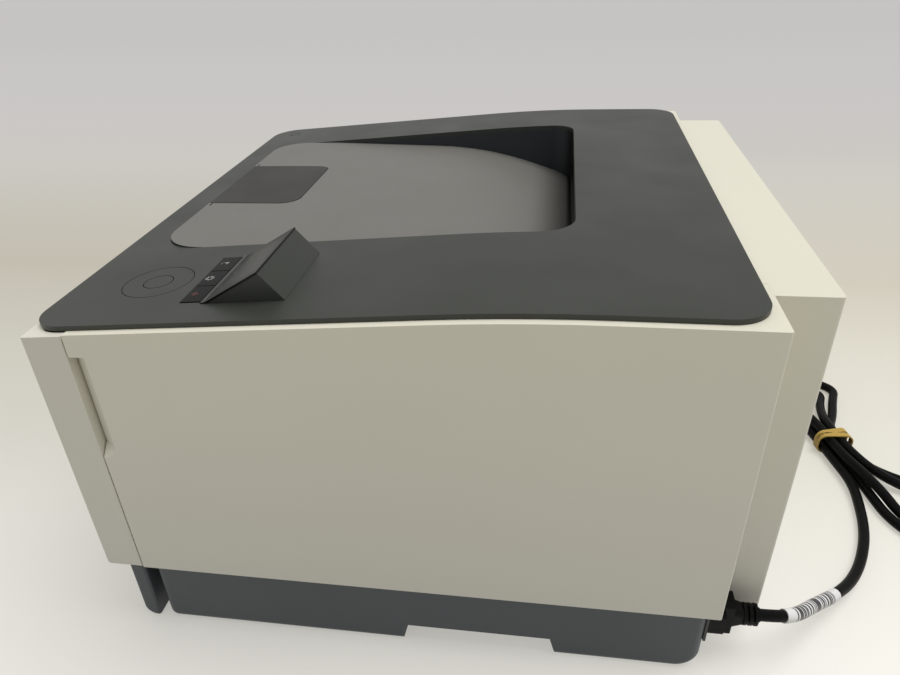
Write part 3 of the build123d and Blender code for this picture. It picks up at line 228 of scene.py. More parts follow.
# fine spark-eroded grain of moulded plastic
def buildMouldGrain():
    group, inside, out = newGroup("mouldGrain",
                                  [("Place", "NodeSocketVector"), ("Size", "NodeSocketFloat"),
                                   ("Rough Low", "NodeSocketFloat"), ("Rough High", "NodeSocketFloat")],
                                  [("Height", "NodeSocketFloat"), ("Roughness", "NodeSocketFloat")])
    fine = group.nodes.new("ShaderNodeTexNoise")
    fine.inputs["Detail"].default_value = 3
    group.links.new(inside.outputs["Place"], fine.inputs["Vector"])
    group.links.new(mathNode(group, "DIVIDE", 1.0, inside.outputs["Size"]), fine.inputs["Scale"])
    cells = group.nodes.new("ShaderNodeTexVoronoi")
    group.links.new(inside.outputs["Place"], cells.inputs["Vector"])
    group.links.new(mathNode(group, "DIVIDE", 0.6, inside.outputs["Size"]), cells.inputs["Scale"])
    height = mathNode(group, "ADD", fine.outputs["Fac"], cells.outputs["Distance"])
    group.links.new(height, out.inputs["Height"])
    broad = group.nodes.new("ShaderNodeTexNoise")
    broad.inputs["Scale"].default_value = 22
    group.links.new(inside.outputs["Place"], broad.inputs["Vector"])
    spread = ranged(group, broad.outputs["Fac"], 0.3, 0.7, inside.outputs["Rough Low"],
                    inside.outputs["Rough High"])
    group.links.new(spread, out.inputs["Roughness"])
    return group


# faint uneven tone of a large moulding, darker and lighter clouds
def buildCloudTone():
    group, inside, out = newGroup("cloudTone", [("Place", "NodeSocketVector"), ("Colour", "NodeSocketColor"),
                                                ("Amount", "NodeSocketFloat"), ("Scale", "NodeSocketFloat")],
                                  [("Colour", "NodeSocketColor")])
    cloud = group.nodes.new("ShaderNodeTexNoise")
    cloud.inputs["Detail"].default_value = 4
    group.links.new(inside.outputs["Place"], cloud.inputs["Vector"])
    group.links.new(inside.outputs["Scale"], cloud.inputs["Scale"])
    swing = mathNode(group, "SUBTRACT", cloud.outputs["Fac"], 0.5)
    swing = mathNode(group, "MULTIPLY", swing, inside.outputs["Amount"])
    tone = group.nodes.new("ShaderNodeHueSaturation")
    group.links.new(inside.outputs["Colour"], tone.inputs["Color"])
    group.links.new(mathNode(group, "ADD", swing, 1.0), tone.inputs["Value"])
    group.links.new(tone.outputs["Color"], out.inputs["Colour"])
    return group


# a thin settled dust on faces that look up
def buildSettledDust():
    group, inside, out = newGroup("settledDust", [("Place", "NodeSocketVector"), ("Colour", "NodeSocketColor"),
                                                  ("Dust", "NodeSocketColor"), ("Amount", "NodeSocketFloat")],
                                  [("Colour", "NodeSocketColor")])
    facing = group.nodes.new("ShaderNodeNewGeometry")
    lift = axesOf(group, facing.outputs["Normal"])["Z"]
    up = mathNode(group, "POWER", mathNode(group, "MAXIMUM", lift, 0.0), 3.0)
    speck = group.nodes.new("ShaderNodeTexNoise")
    speck.inputs["Scale"].default_value = 900
    group.links.new(inside.outputs["Place"], speck.inputs["Vector"])
    patch = group.nodes.new("ShaderNodeTexNoise")
    patch.inputs["Scale"].default_value = 14
    group.links.new(inside.outputs["Place"], patch.inputs["Vector"])
    fall = mathNode(group, "MULTIPLY", mathNode(group, "MULTIPLY", speck.outputs["Fac"], patch.outputs["Fac"]), up)
    amount = mathNode(group, "MULTIPLY", fall, inside.outputs["Amount"])
    tone = mixed(group, amount, inside.outputs["Colour"], inside.outputs["Dust"])
    group.links.new(tone, out.inputs["Colour"])
    return group


# long fine lines of rolled or ground steel
def buildRolledLines():
    group, inside, out = newGroup("rolledLines", [("Place", "NodeSocketVector"), ("Stretch", "NodeSocketVector")],
                                  [("Height", "NodeSocketFloat"), ("Mask", "NodeSocketFloat")])
    mapping = group.nodes.new("ShaderNodeVectorMath")
    mapping.operation = "MULTIPLY"
    group.links.new(inside.outputs["Place"], mapping.inputs[0])
    group.links.new(inside.outputs["Stretch"], mapping.inputs[1])
    lines = group.nodes.new("ShaderNodeTexNoise")
    lines.inputs["Scale"].default_value = 1
    lines.inputs["Detail"].default_value = 4
    group.links.new(mapping.outputs["Vector"], lines.inputs["Vector"])
    group.links.new(lines.outputs["Fac"], out.inputs["Height"])
    group.links.new(lines.outputs["Fac"], out.inputs["Mask"])
    return group


mouldGrain, cloudTone = buildMouldGrain(), buildCloudTone()
settledDust, rolledLines = buildSettledDust(), buildRolledLines()


def placed(tree, group, **values):
    node = tree.nodes.new("ShaderNodeGroup")
    node.node_tree = group
    for name, value in values.items():
        give(tree, node.inputs[name.replace("_", " ")], value)
    return node


# finishes

def startMaterial(name):
    material = bpy.data.materials.new(name)
    material.use_nodes = True
    tree = material.node_tree
    shader = tree.nodes["Principled BSDF"]
    place = tree.nodes.new("ShaderNodeTexCoord").outputs["Object"]
    return material, tree, shader, place


def addBump(tree, shader, height, strength, distance):
    bump = tree.nodes.new("ShaderNodeBump")
    bump.inputs["Strength"].default_value = strength
    bump.inputs["Distance"].default_value = distance
    tree.links.new(height, bump.inputs["Height"])
    tree.links.new(bump.outputs["Normal"], shader.inputs["Normal"])


dustColour = (0.5, 0.49, 0.46, 1)


def mouldedPlastic(name, colour, rough, grain=0.00035, depth=0.00003, strength=0.35, cloud=0.05, dust=0.0,
                   specular=0.5, coat=0.0):
    material, tree, shader, place = startMaterial(name)
    skin = placed(tree, mouldGrain, Place=place, Size=grain, Rough_Low=rough[0], Rough_High=rough[1])
    tone = placed(tree, cloudTone, Place=place, Colour=(*colour, 1), Amount=cloud, Scale=9.0).outputs["Colour"]
    if dust:
        tone = placed(tree, settledDust, Place=place, Colour=tone, Dust=dustColour, Amount=dust).outputs["Colour"]
    tree.links.new(tone, shader.inputs["Base Color"])
    tree.links.new(skin.outputs["Roughness"], shader.inputs["Roughness"])
    shader.inputs["Specular IOR Level"].default_value = specular
    shader.inputs["Coat Weight"].default_value = coat
    addBump(tree, shader, skin.outputs["Height"], strength, depth)
    return material


def metal(name, colour, rough, stretch, depth=0.00002):
    material, tree, shader, place = startMaterial(name)
    lines = placed(tree, rolledLines, Place=place, Stretch=stretch)
    tone = placed(tree, cloudTone, Place=place, Colour=(*colour, 1), Amount=0.12, Scale=30.0)
    tree.links.new(tone.outputs["Colour"], shader.inputs["Base Color"])
    shader.inputs["Metallic"].default_value = 1.0
    tree.links.new(ranged(tree, lines.outputs["Mask"], 0.0, 1.0, *rough), shader.inputs["Roughness"])
    addBump(tree, shader, lines.outputs["Height"], 0.4, depth)
    return material



# painted light: the white plastic is painted warmer and lighter between two heights, standing in for the stronger
# light on the upper part of the sides
paintedLightRise = (0.06, 0.22)


def makeWhiteWithPaintedLight(name, low, high):
    material = mouldedPlastic(name, low, (0.42, 0.5), cloud=0.03, depth=0.00002)
    tree = material.node_tree
    cloud = tree.nodes["Principled BSDF"].inputs["Base Color"].links[0].from_node
    height = axesOf(tree, tree.nodes.new("ShaderNodeTexCoord").outputs["Object"])["Z"]
    # painted light: the colour turns lighter and warmer higher up the shell
    tone = mixed(tree, ranged(tree, height, *paintedLightRise), (*low, 1), (*high, 1))
    tree.links.new(tone, cloud.inputs["Colour"])
    return material


whiteShell = makeWhiteWithPaintedLight("whiteShell", (0.74, 0.72, 0.64), (0.83, 0.80, 0.67))
whiteDoor = makeWhiteWithPaintedLight("whiteDoor", (0.74, 0.715, 0.64), (0.77, 0.745, 0.65))
darkShell = mouldedPlastic("darkShell", (0.040, 0.044, 0.037), (0.38, 0.46), grain=0.0004, cloud=0.06, dust=0.02,
                           specular=0.36)
baseGrey = mouldedPlastic("baseGrey", (0.066, 0.078, 0.088), (0.38, 0.46), cloud=0.08)
flapGrey = mouldedPlastic("flapGrey", (0.037, 0.037, 0.034), (0.42, 0.5), cloud=0.05, dust=0.01, specular=0.25)
keyBlack = mouldedPlastic("keyBlack", (0.008, 0.008, 0.008), (0.2, 0.26), depth=0.000004, cloud=0.2, specular=0.06)
blackPlastic = mouldedPlastic("blackPlastic", (0.022, 0.022, 0.023), (0.38, 0.5), cloud=0.15)
enginePlastic = mouldedPlastic("enginePlastic", (0.05, 0.05, 0.053), (0.5, 0.62), grain=0.0006, cloud=0.2)
guideGrey = mouldedPlastic("guideGrey", (0.16, 0.165, 0.17), (0.4, 0.5), cloud=0.08)
gearWhite = mouldedPlastic("gearWhite", (0.74, 0.72, 0.66), (0.32, 0.4), cloud=0.04)
footRubber = mouldedPlastic("footRubber", (0.03, 0.03, 0.03), (0.7, 0.8), grain=0.0005, cloud=0.2)
rollerRubber = mouldedPlastic("rollerRubber", (0.045, 0.045, 0.045), (0.55, 0.68), grain=0.0003, cloud=0.15)
drumBlue = mouldedPlastic("drumBlue", (0.03, 0.16, 0.22), (0.12, 0.18), depth=0.000002, cloud=0.1, coat=0.6)
beltFilm = mouldedPlastic("beltFilm", (0.018, 0.018, 0.02), (0.2, 0.28), depth=0.000004, cloud=0.15)
boardGreen = mouldedPlastic("boardGreen", (0.02, 0.12, 0.05), (0.28, 0.38), depth=0.00001, cloud=0.2)
cordBlack = mouldedPlastic("cordBlack", (0.0045, 0.0045, 0.0045), (0.4, 0.5), grain=0.0005, cloud=0.3,
                           strength=0.25, specular=0.11)
sheetSteel = metal("sheetSteel", (0.55, 0.56, 0.57), (0.28, 0.42), (900, 40, 900))
shaftSteel = metal("shaftSteel", (0.66, 0.66, 0.66), (0.18, 0.3), (60, 1500, 1500))
castMotor = metal("castMotor", (0.5, 0.5, 0.5), (0.3, 0.45), (300, 300, 300))
mirrorMetal = metal("mirrorMetal", (0.9, 0.9, 0.9), (0.03, 0.06), (60, 60, 60), depth=0.000001)
screwSteel = metal("screwSteel", (0.5, 0.5, 0.49), (0.25, 0.4), (600, 600, 600))


# the tub's floor is grey and its walls are dark; painted shade dims the floor rearward, turns its rear end to the
# wall colour and darkens the walls to near black by the exit slot
binTone = {"floor": (0.175, 0.172, 0.158), "wall": (0.028, 0.034, 0.039, 1), "mouth": (0.004, 0.005, 0.004, 1),
           "floorFacesUp": (0.2, 0.45), "wallShadeToExit": (0.068, 0.0745), "floorEndShade": (0.0715, 0.0740),
           "floorRearShade": (0.045, 0.0755), "floorShadeLeast": 0.45}


def makeBinGrey():
    material = mouldedPlastic("binGrey", binTone["floor"], (0.44, 0.52), cloud=0.05, dust=0.04, specular=0.35)
    tree = material.node_tree
    shader = tree.nodes["Principled BSDF"]
    tone = shader.inputs["Base Color"].links[0].from_socket
    lift = axesOf(tree, tree.nodes.new("ShaderNodeNewGeometry").outputs["Normal"])["Z"]
    back = axesOf(tree, tree.nodes.new("ShaderNodeTexCoord").outputs["Object"])["Y"]
    flat = ranged(tree, lift, *binTone["floorFacesUp"])
    # painted shade: the floor's rear end takes the wall colour, and the floor dims rearward
    before = mathNode(tree, "SUBTRACT", 1.0, ranged(tree, back, *binTone["floorEndShade"]))
    paintedShade = tree.nodes.new("ShaderNodeHueSaturation")
    tree.links.new(tone, paintedShade.inputs["Color"])
    tree.links.new(ranged(tree, back, *binTone["floorRearShade"], 1.0, binTone["floorShadeLeast"]), paintedShade.inputs["Value"])
    # painted shade: the walls go near black by the exit slot
    wall = mixed(tree, ranged(tree, back, *binTone["wallShadeToExit"]), binTone["wall"], binTone["mouth"])
    whole = mixed(tree, mathNode(tree, "MULTIPLY", flat, before), wall, paintedShade.outputs["Color"])
    tree.links.new(whole, shader.inputs["Base Color"])
    return material


binGrey = makeBinGrey()
print("stage: finishes made")


# camera, light and stage

photoCamera = {"place": (0.4694, 0.0631, 0.3756), "turn": (58.09, 2.1453, 98.4852), "lens": 28.95,
               "shift": (0.0110, 0.0353)}


def setCamera():
    bpy.ops.object.camera_add(location=photoCamera["place"],
                              rotation=[math.radians(angle) for angle in photoCamera["turn"]])
    camera = bpy.context.active_object
    camera.name = "photoCamera"
    camera.data.lens = photoCamera["lens"]
    camera.data.sensor_width = 36
    camera.data.shift_x, camera.data.shift_y = photoCamera["shift"]
    camera.data.clip_start = 0.01
    bpy.context.scene.camera = camera
    bpy.context.scene.view_settings.view_transform = "Standard"


setCamera()

# painted light: the floor gets a lighter patch, up to about a quarter brighter, towards the near side and the
# right
roomLight = {"skyForObject": 0.45, "skyTint": (1.0, 0.985, 0.945), "skySeen": (0.56, 0.55, 0.545),
             "sunStrength": 1.85, "sunTurn": (-16, -6, 0), "sunAngle": 44,
             "floorBounce": (0.44, 0.435, 0.41), "floorSize": 14.0, "floorLit": 0.5, "floorGlow": 0.5,
             "floorPaintedLight": 0.26, "paintedLightX": (-0.9, -0.2), "paintedLightY": (-0.1, 0.35)}
# tone of the floor, which turns into the wall behind, at some X; the lightest tones, on the near side, are painted
# light that lifts the object's shadow there
floorTones = ((0.40, (0.95, 0.935, 0.905)), (0.0, (0.66, 0.645, 0.58)), (-0.35, (0.53, 0.50, 0.42)),
              (-0.80, (0.58, 0.565, 0.53)), (-1.5, (0.56, 0.545, 0.55)), (-2.6, (0.53, 0.515, 0.52)))


def setRoom():
    world = bpy.data.worlds.new("paleRoom")
    bpy.context.scene.world = world
    world.use_nodes = True
    tree = world.node_tree
    tree.nodes.clear()
    out = tree.nodes.new("ShaderNodeOutputWorld")
    mix = tree.nodes.new("ShaderNodeMixShader")
    lit = tree.nodes.new("ShaderNodeBackground")
    lit.inputs["Color"].default_value = (*roomLight["skyTint"], 1)
    lit.inputs["Strength"].default_value = roomLight["skyForObject"]
    seen = tree.nodes.new("ShaderNodeBackground")
    seen.inputs["Color"].default_value = (*roomLight["skySeen"], 1)
    seen.inputs["Strength"].default_value = 1.0
    ray = tree.nodes.new("ShaderNodeLightPath")
    straight = mathNode(tree, "MAXIMUM", ray.outputs["Is Camera Ray"], ray.outputs["Is Glossy Ray"])
    straight = mathNode(tree, "MAXIMUM", straight, ray.outputs["Is Transmission Ray"])
    tree.links.new(straight, mix.inputs["Fac"])
    tree.links.new(lit.outputs[0], mix.inputs[1])
    tree.links.new(seen.outputs[0], mix.inputs[2])
    tree.links.new(mix.outputs[0], out.inputs["Surface"])
    bpy.ops.object.light_add(type="SUN", location=(0, 0.6, 1.6),
                             rotation=[math.radians(angle) for angle in roomLight["sunTurn"]])
    sun = bpy.context.active_object
    sun.name = "ceilingLight"
    sun.data.energy = roomLight["sunStrength"]
    sun.data.angle = math.radians(roomLight["sunAngle"])
    sun.visible_glossy = False


def setFloor():
    bpy.ops.object.select_all(action="DESELECT")
    bpy.ops.mesh.primitive_plane_add(size=roomLight["floorSize"], location=(-2, 0, 0))
    floor = bpy.context.active_object
    floor.name = "paleFloor"
    bpy.ops.object.transform_apply(location=True)
    material, tree, shader, place = startMaterial("palePaper")
    shader.inputs["Roughness"].default_value = 0.6
    shader.inputs["Specular IOR Level"].default_value = 0.2
    axes = axesOf(tree, place)
    first, last = floorTones[0][0], floorTones[-1][0]
    ramp = tree.nodes.new("ShaderNodeValToRGB")
    ramp.color_ramp.elements[0].color = (*floorTones[0][1], 1)
    ramp.color_ramp.elements[1].color = (*floorTones[-1][1], 1)
    for x, tone in floorTones[1:-1]:
        ramp.color_ramp.elements.new((x - first) / (last - first)).color = (*tone, 1)
    tree.links.new(ranged(tree, axes["X"], first, last), ramp.inputs["Fac"])
    # painted light: a lighter patch on the floor towards the near side and the right
    near = ranged(tree, axes["X"], *roomLight["paintedLightX"])
    side = ranged(tree, axes["Y"], *roomLight["paintedLightY"])
    paintedLightPatch = mathNode(tree, "MULTIPLY", mathNode(tree, "MULTIPLY", near, side), roomLight["floorPaintedLight"])
    tone = tree.nodes.new("ShaderNodeHueSaturation")
    tree.links.new(ramp.outputs["Color"], tone.inputs["Color"])
    tree.links.new(mathNode(tree, "ADD", paintedLightPatch, 1.0), tone.inputs["Value"])
    # part of the tone is lit and takes the shadow, the rest glows
    lit = mixed(tree, roomLight["floorLit"], (0, 0, 0, 1), tone.outputs["Color"])
    ray = tree.nodes.new("ShaderNodeLightPath")
    straight = mathNode(tree, "MAXIMUM", ray.outputs["Is Camera Ray"], ray.outputs["Is Glossy Ray"])
    tree.links.new(mixed(tree, straight, (*roomLight["floorBounce"], 1), lit), shader.inputs["Base Color"])
    tree.links.new(tone.outputs["Color"], shader.inputs["Emission Color"])
    glow = mathNode(tree, "MULTIPLY", straight, roomLight["floorGlow"])
    tree.links.new(glow, shader.inputs["Emission Strength"])
    floor.data.materials.append(material)


setRoom()
setFloor()
print("stage: camera, light and floor set")


# mains cord

mainsCord = {
    "radius": 0.0035,
    "route": [
        (0.1729, 0.1890, 0.0340), (0.1729, 0.2000, 0.0340), (0.1645, 0.2130, 0.0275), (0.1490, 0.2280, 0.0195),
        (0.1340, 0.2450, 0.0125), (0.1160, 0.2620, 0.0070), (0.0930, 0.2760, 0.0042), (0.0650, 0.2870, 0.0038),
        (0.0340, 0.2925, 0.0038), (0.0133, 0.2936, 0.0051), (-0.0102, 0.2890, 0.0051), (-0.0514, 0.2810, 0.0051),
        (-0.0776, 0.2734, 0.0038), (-0.1066, 0.2770, 0.0038), (-0.1343, 0.2895, 0.0038), (-0.1182, 0.3200, 0.0038),
        (-0.0976, 0.3124, 0.0038), (-0.0739, 0.3057, 0.0038), (-0.0522, 0.2962, 0.0051), (-0.0152, 0.3034, 0.0051),
        (0.0037, 0.3234, 0.0038), (0.0162, 0.3528, 0.0038), (0.0317, 0.3769, 0.0038), (0.0510, 0.3953, 0.0038),
        (0.0947, 0.3810, 0.0038), (0.0883, 0.3430, 0.0038), (0.0585, 0.3088, 0.0038), (0.0162, 0.3018, 0.0038),
        (-0.0127, 0.2962, 0.0051), (-0.0518, 0.2886, 0.0051), (-0.0743, 0.2846, 0.0038), (-0.0954, 0.2848, 0.0038),
        (-0.1134, 0.2908, 0.0038), (-0.1076, 0.3059, 0.0038), (-0.0916, 0.3003, 0.0038), (-0.0731, 0.2956, 0.0075),
        (-0.0520, 0.2924, 0.0121), (-0.0139, 0.2998, 0.0121), (0.0070, 0.3138, 0.0085), (0.0208, 0.3381, 0.0038),
        (0.0337, 0.3604, 0.0038), (0.0542, 0.3767, 0.0038), (0.0786, 0.3650, 0.0038), (0.0687, 0.3337, 0.0038),
        (0.0486, 0.3159, 0.0053), (0.0300, 0.3078, 0.0115), (0.0100, 0.3000, 0.0130), (-0.0115, 0.2926, 0.0121),
        (-0.0516, 0.2848, 0.0121), (-0.0708, 0.2758, 0.0130), (-0.0912, 0.2613, 0.0090), (-0.1033, 0.2414, 0.0038),
        (-0.1287, 0.2258, 0.0038), (-0.1668, 0.2314, 0.0038)],
    "labelFrom": 0.0145, "labelTo": 0.0745, "labelRadius": 0.0041, "labelMargin": 0.007,
}


def makeCord():
    curve = bpy.data.curves.new("mainsLead", "CURVE")
    curve.dimensions = "3D"
    spline = curve.splines.new("NURBS")
    spline.points.add(len(mainsCord["route"]) - 1)
    for point, place in zip(spline.points, mainsCord["route"]):
        point.co = (*place, 1)
    spline.order_u = 3
    spline.use_endpoint_u = True
    spline.resolution_u = 12
    cord = bpy.data.objects.new("mainsLead", curve)
    bpy.context.scene.collection.objects.link(cord)
    bpy.context.view_layer.update()
    line = bpy.data.meshes.new_from_object(cord)      # the bare line, before it gets its thickness
    points = [vertex.co.copy() for vertex in line.vertices]
    bpy.data.meshes.remove(line)
    curve.bevel_depth = mainsCord["radius"]
    curve.bevel_resolution = 6
    curve.use_fill_caps = True
    return cord, points


# the stretch of a line between two distances along it, each point with its distance
def stretchOf(points, start, end):
    kept, run = [], 0.0
    for before, after in zip(points, points[1:]):
        step = (after - before).length
        if start - step <= run <= end:
            kept.append((before, run))
        run += step
    return kept


def barsOnLabel():
    material, tree, shader, place = startMaterial("printedSleeve")
    along = tree.nodes.new("ShaderNodeAttribute")
    along.attribute_name = "along"
    distance = along.outputs["Fac"]
    coarse = tree.nodes.new("ShaderNodeTexNoise")
    coarse.noise_dimensions = "1D"
    coarse.inputs["Scale"].default_value = 620
    coarse.inputs["Detail"].default_value = 0
    tree.links.new(distance, coarse.inputs["W"])
    bars = mathNode(tree, "GREATER_THAN", coarse.outputs["Fac"], 0.46)
    span = mainsCord["labelTo"] - mainsCord["labelFrom"]
    inside = mathNode(tree, "MULTIPLY", mathNode(tree, "GREATER_THAN", distance, mainsCord["labelMargin"]),
                      mathNode(tree, "LESS_THAN", distance, span - mainsCord["labelMargin"]))
    printed = mixed(tree, mathNode(tree, "MULTIPLY", bars, inside), (0.82, 0.82, 0.82, 1), (0.05, 0.05, 0.055, 1))
    tree.links.new(printed, shader.inputs["Base Color"])
    skin = placed(tree, mouldGrain, Place=place, Size=0.0006, Rough_Low=0.25, Rough_High=0.35)
    tree.links.new(skin.outputs["Roughness"], shader.inputs["Roughness"])
    addBump(tree, shader, skin.outputs["Height"], 0.2, 0.00002)
    return material


def makeLabel(points):
    kept = stretchOf(points, mainsCord["labelFrom"], mainsCord["labelTo"])
    curve = bpy.data.curves.new("cordLabel", "CURVE")
    curve.dimensions = "3D"
    spline = curve.splines.new("POLY")
    spline.points.add(len(kept) - 1)
    for point, (place, run) in zip(spline.points, kept):
        point.co = (*place, 1)
    curve.bevel_depth = mainsCord["labelRadius"]
    curve.bevel_resolution = 7
    curve.use_fill_caps = True
    label = bpy.data.objects.new("cordLabel", curve)
    bpy.context.scene.collection.objects.link(label)
    alone(label)
    bpy.ops.object.convert(target="MESH")
    label = bpy.context.active_object
    along = label.data.attributes.new("along", "FLOAT", "POINT")
    for vertex in label.data.vertices:
        nearest = min(kept, key=lambda mark: (mark[0] - vertex.co).length)
        along.data[vertex.index].value = nearest[1] - kept[0][1]
    bpy.ops.object.shade_smooth_by_angle(angle=math.radians(40))
    return label


cord, cordLine = makeCord()
cordLength = sum((b - a).length for a, b in zip(cordLine, cordLine[1:]))
print("cord line length", round(cordLength, 4))
label = makeLabel(cordLine)
finish(label, barsOnLabel(), "body", "cord_black")
finish(cord, cordBlack, "body", "cord_black", "cord_lead", "cord_hank")


# the rubber band goes twice round the strands, the two rounds a little crossed
rubberBand = {"squeeze": 0.52, "shift": 0.0023, "cross": 7, "heading": 11, "edge": 0.0004,
              "colour": (0.50, 0.33, 0.075)}


def makeBand():
    rounds = []
    for side in (-1, 1):
        piece = fromNode("cord_tie", "bandRound%d" % (side + 1))
        low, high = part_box("cord_tie")
        middle = (low + high) / 2
        heading = math.radians(rubberBand["heading"])
        across = Vector((math.cos(heading), math.sin(heading), 0))
        sideways = Vector((-across.y, across.x, 0))
        lean = side * math.tan(math.radians(rubberBand["cross"]))
        for vertex in piece.data.vertices:
            offset = vertex.co - middle
            along = offset.dot(across)
            moved = along * (rubberBand["squeeze"] - 1) + side * rubberBand["shift"]
            moved += lean * (offset - across * along).dot(sideways)
            vertex.co += across * moved
        rounds.append(piece)
    band = joined("rubberBand", *rounds)
    roundEdges(band, rubberBand["edge"], 2, 40)
    return settle(band, 40)


band = makeBand()
bandRubber = mouldedPlastic("bandRubber", rubberBand["colour"], (0.42, 0.55), grain=0.0006, cloud=0.35,
                            depth=0.00005)
finish(band, bandRubber, "body", "band_tan", "cord_tie")
print("stage: cord made")


# mains connector and plug

def makeConnector():
    piece = fromNode("cord_connector", "mainsConnector")
    roundEdges(piece, 0.0005, 3, 35)
    return settle(piece, 35)


def makePlug():
    piece = fromNode("mains_plug", "mainsPlug")
    roundEdges(piece, 0.0005, 3, 40)
    return settle(piece, 40)


connector = makeConnector()
plug = makePlug()
finish(connector, cordBlack, "body", "cord_black", "cord_connector")
finish(plug, cordBlack, "body", "cord_black", "mains_plug")


# outer shells

shellEdges = {      # node, new name, finish, slot, radius of the moulded edges
    "right_side_panel": ("rightPanel", whiteShell, "white_shell", 0.0006),
    "left_side_panel": ("leftPanel", whiteShell, "white_shell", 0.0006),
    "front_door": ("frontDoor", whiteDoor, "white_shell", 0.0006),
    "rear_housing": ("rearHousing", whiteShell, "white_shell", 0.0006),
    "rear_door": ("rearDoor", whiteShell, "white_shell", 0.0005),
    "top_cover": ("topCover", darkShell, "dark_shell", 0.0006),
    "base_frame": ("baseFrame", baseGrey, "base_grey", 0.0007),
    "paper_tray": ("paperTray", baseGrey, "tray_dark", 0.0007),
    "output_bin": ("outputBin", binGrey, "bin_grey", 0.0005),
    "paper_stop_flap": ("stopFlap", flapGrey, "flap_grey", 0.0004),
    "display_housing": ("displayHousing", darkShell, "dark_shell", 0.0004),
    "arrow_ring": ("arrowRing", darkShell, "dark_shell", 0.00014),
    "ok_button": ("okButton", darkShell, "dark_shell", 0.00014),
    "power_button": ("powerButton", darkShell, "dark_shell", 0.0002),
}
holeShare = 0.2     # of the moulded radius, round the keys, ring and power button
panelHoles = ((0.105, 0.175, -0.166, -0.104), (-0.179, -0.166, -0.178, -0.165))
for node, (name, material, slot, width) in shellEdges.items():
    piece = fromNode(node, name)
    bevel = roundEdges(piece, width)
    if node == "top_cover":
        spareEdges(piece, bevel, panelHoles, holeShare)
    settle(piece)
    finish(piece, material, bodyOf[node], slot, node)
print("stage: shells made")


# control panel

displayArea = {"X": (0.1210, 0.1655), "Y": (-0.0985, -0.0775)}


def displayGlass():
    material, tree, shader, place = startMaterial("displayGlass")
    axes = axesOf(tree, place)
    mask = None
    for axis, (low, high) in displayArea.items():
        for operation, edge in (("GREATER_THAN", low), ("LESS_THAN", high)):
            side = mathNode(tree, operation, axes[axis], edge)
            mask = side if mask is None else mathNode(tree, "MULTIPLY", mask, side)
    tone = mixed(tree, mask, (0.008, 0.009, 0.008, 1), (0.034, 0.036, 0.032, 1))
    tree.links.new(tone, shader.inputs["Base Color"])
    shader.inputs["Specular IOR Level"].default_value = 0.12
    skin = placed(tree, mouldGrain, Place=place, Size=0.0008, Rough_Low=0.12, Rough_High=0.18)
    tree.links.new(skin.outputs["Roughness"], shader.inputs["Roughness"])
    addBump(tree, shader, skin.outputs["Height"], 0.1, 0.000004)
    return material


window = fromNode("display_window", "displayWindow")
roundEdges(window, 0.00025)
finish(settle(window), displayGlass(), "body", "display_black", "display_window")

panel = {"slope": 4.283, "keyY": -0.1147, "markThick": 0.00006, "markLine": 0.0007}
keyCentres = {"back_key": 0.12333, "setup_key": 0.142, "cancel_key": 0.16067}


# a flat mark made round the origin is laid on a key's face
def layOnKey(mark, node):
    low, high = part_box(node)
    slope = math.radians(panel["slope"])
    x = keyCentres[node]
    y = panel["keyY"]
    z = high.z - (high.y - y) * math.tan(slope) + panel["markThick"] * 0.3
    mark.matrix_world = Matrix.Translation((x, y, z)) @ Matrix.Rotation(slope, 4, "X")
    return mark


def stroke(name, length, place, turn):
    half = panel["markLine"] / 2
    piece = block(name, (-length / 2, -half, 0), (length / 2, half, panel["markThick"]))
    piece.rotation_euler = (0, 0, math.radians(turn))
    piece.location = (*place, piece.location.z)
    return piece


def washer(name, outer, inner, turns=360, start=0, steps=40):
    bpy.ops.object.select_all(action="DESELECT")
    bpy.ops.mesh.primitive_plane_add(size=1)
    piece = bpy.context.active_object
    piece.name = name
    piece.scale = ((outer - inner) / 2, panel["markThick"] / 2, 1)
    bpy.ops.object.transform_apply(scale=True)
    bpy.ops.object.mode_set(mode="EDIT")
    bpy.ops.mesh.select_all(action="SELECT")
    bpy.ops.transform.rotate(value=math.radians(90), orient_axis="X", center_override=(0, 0, 0))
    bpy.ops.transform.translate(value=((outer + inner) / 2, 0, panel["markThick"] / 2))
    bpy.ops.transform.rotate(value=-math.radians(start), orient_axis="Z", center_override=(0, 0, 0))
    bpy.ops.mesh.spin(steps=steps, angle=math.radians(turns), center=(0, 0, 0), axis=(0, 0, 1))
    bpy.ops.mesh.select_all(action="SELECT")
    bpy.ops.mesh.remove_doubles(threshold=0.000002)
    bpy.ops.mesh.normals_make_consistent(inside=False)
    bpy.ops.object.mode_set(mode="OBJECT")
    return piece


whiteMark = mouldedPlastic("whiteMark", (0.34, 0.35, 0.34), (0.4, 0.5), depth=0.000003)
redMark = mouldedPlastic("redMark", (0.11, 0.02, 0.018), (0.4, 0.5), depth=0.000003)

for node, name in (("back_key", "backKey"), ("setup_key", "setupKey"), ("cancel_key", "cancelKey")):
    piece = fromNode(node, name)
    roundEdges(piece, 0.0002)
    finish(settle(piece), keyBlack, node, "key_black", node)

crossLength = 0.0042
cross = joined("cancelMark", stroke("crossA", crossLength, (0, 0), 45), stroke("crossB", crossLength, (0, 0), -45))
finish(settle(layOnKey(cross, "cancel_key")), redMark, "cancel_key", "key_black")

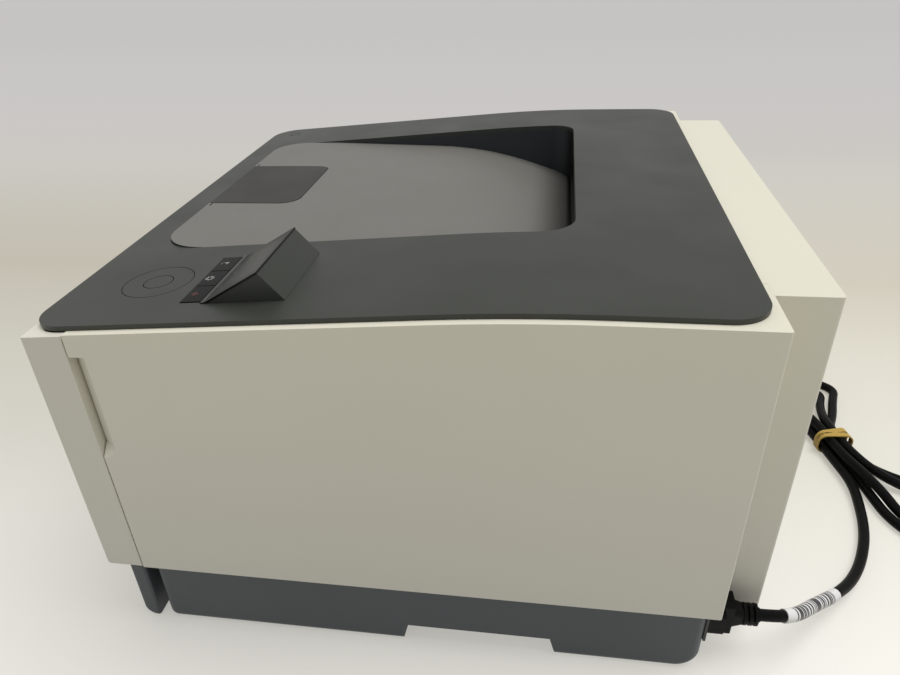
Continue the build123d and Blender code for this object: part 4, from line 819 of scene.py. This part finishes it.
gearTooth = {"length": 0.0010, "reach": 0.0021, "count": 8}
teeth = []
for i in range(gearTooth["count"]):
    turn = i * 360 / gearTooth["count"]
    x, y = gearTooth["reach"] * math.cos(math.radians(turn)), gearTooth["reach"] * math.sin(math.radians(turn))
    teeth.append(stroke("gearTooth%d" % i, gearTooth["length"], (x, y), turn))
gearMark = joined("setupMark", washer("gearRing", 0.0019, 0.0011), *teeth)
finish(settle(layOnKey(gearMark, "setup_key")), whiteMark, "setup_key", "key_black")

backMark = joined("backMark", washer("backArc", 0.0019, 0.0012, 200, -80, 24),
                  stroke("backTail", 0.0022, (-0.0008, 0.00155), 0),
                  stroke("backTipA", 0.0015, (-0.0016, 0.0020), 40),
                  stroke("backTipB", 0.0015, (-0.0016, 0.0011), -40))
finish(settle(layOnKey(backMark, "back_key")), whiteMark, "back_key", "key_black")
print("stage: control panel made")


# everything that keeps its frame shape

plainNodes = {
    "rubber_feet": footRubber, "case_screws": screwSteel, "control_board": boardGreen,
    "right_frame_plate": sheetSteel, "left_frame_plate": sheetSteel, "laser_scanner": enginePlastic,
    "polygon_mirror": mirrorMetal, "cartridge_drawer": blackPlastic, "transfer_belt": beltFilm,
    "belt_front_roller": shaftSteel, "belt_drive_roller": shaftSteel, "transfer_roller": rollerRubber,
    "fuser_frame": enginePlastic, "fuser_roller": rollerRubber, "pressure_roller": rollerRubber,
    "pickup_roller": rollerRubber, "exit_roller": rollerRubber, "main_motor": castMotor,
    "motor_pinion": shaftSteel, "reduction_gear": gearWhite, "fan_housing": blackPlastic,
    "fan_rotor": blackPlastic, "power_supply_board": boardGreen, "main_board": boardGreen,
    "lift_plate": sheetSteel, "separation_pad": rollerRubber, "right_paper_guide": guideGrey,
    "left_paper_guide": guideGrey, "inlet_socket": blackPlastic,
}
for colour in ("yellow", "magenta", "cyan", "black"):
    plainNodes["drum_" + colour] = drumBlue
    plainNodes["toner_cartridge_" + colour] = blackPlastic
for node, material in plainNodes.items():
    nodes[node].data.materials.clear()
    nodes[node].data.materials.append(material)
print("stage: inner pieces dressed")
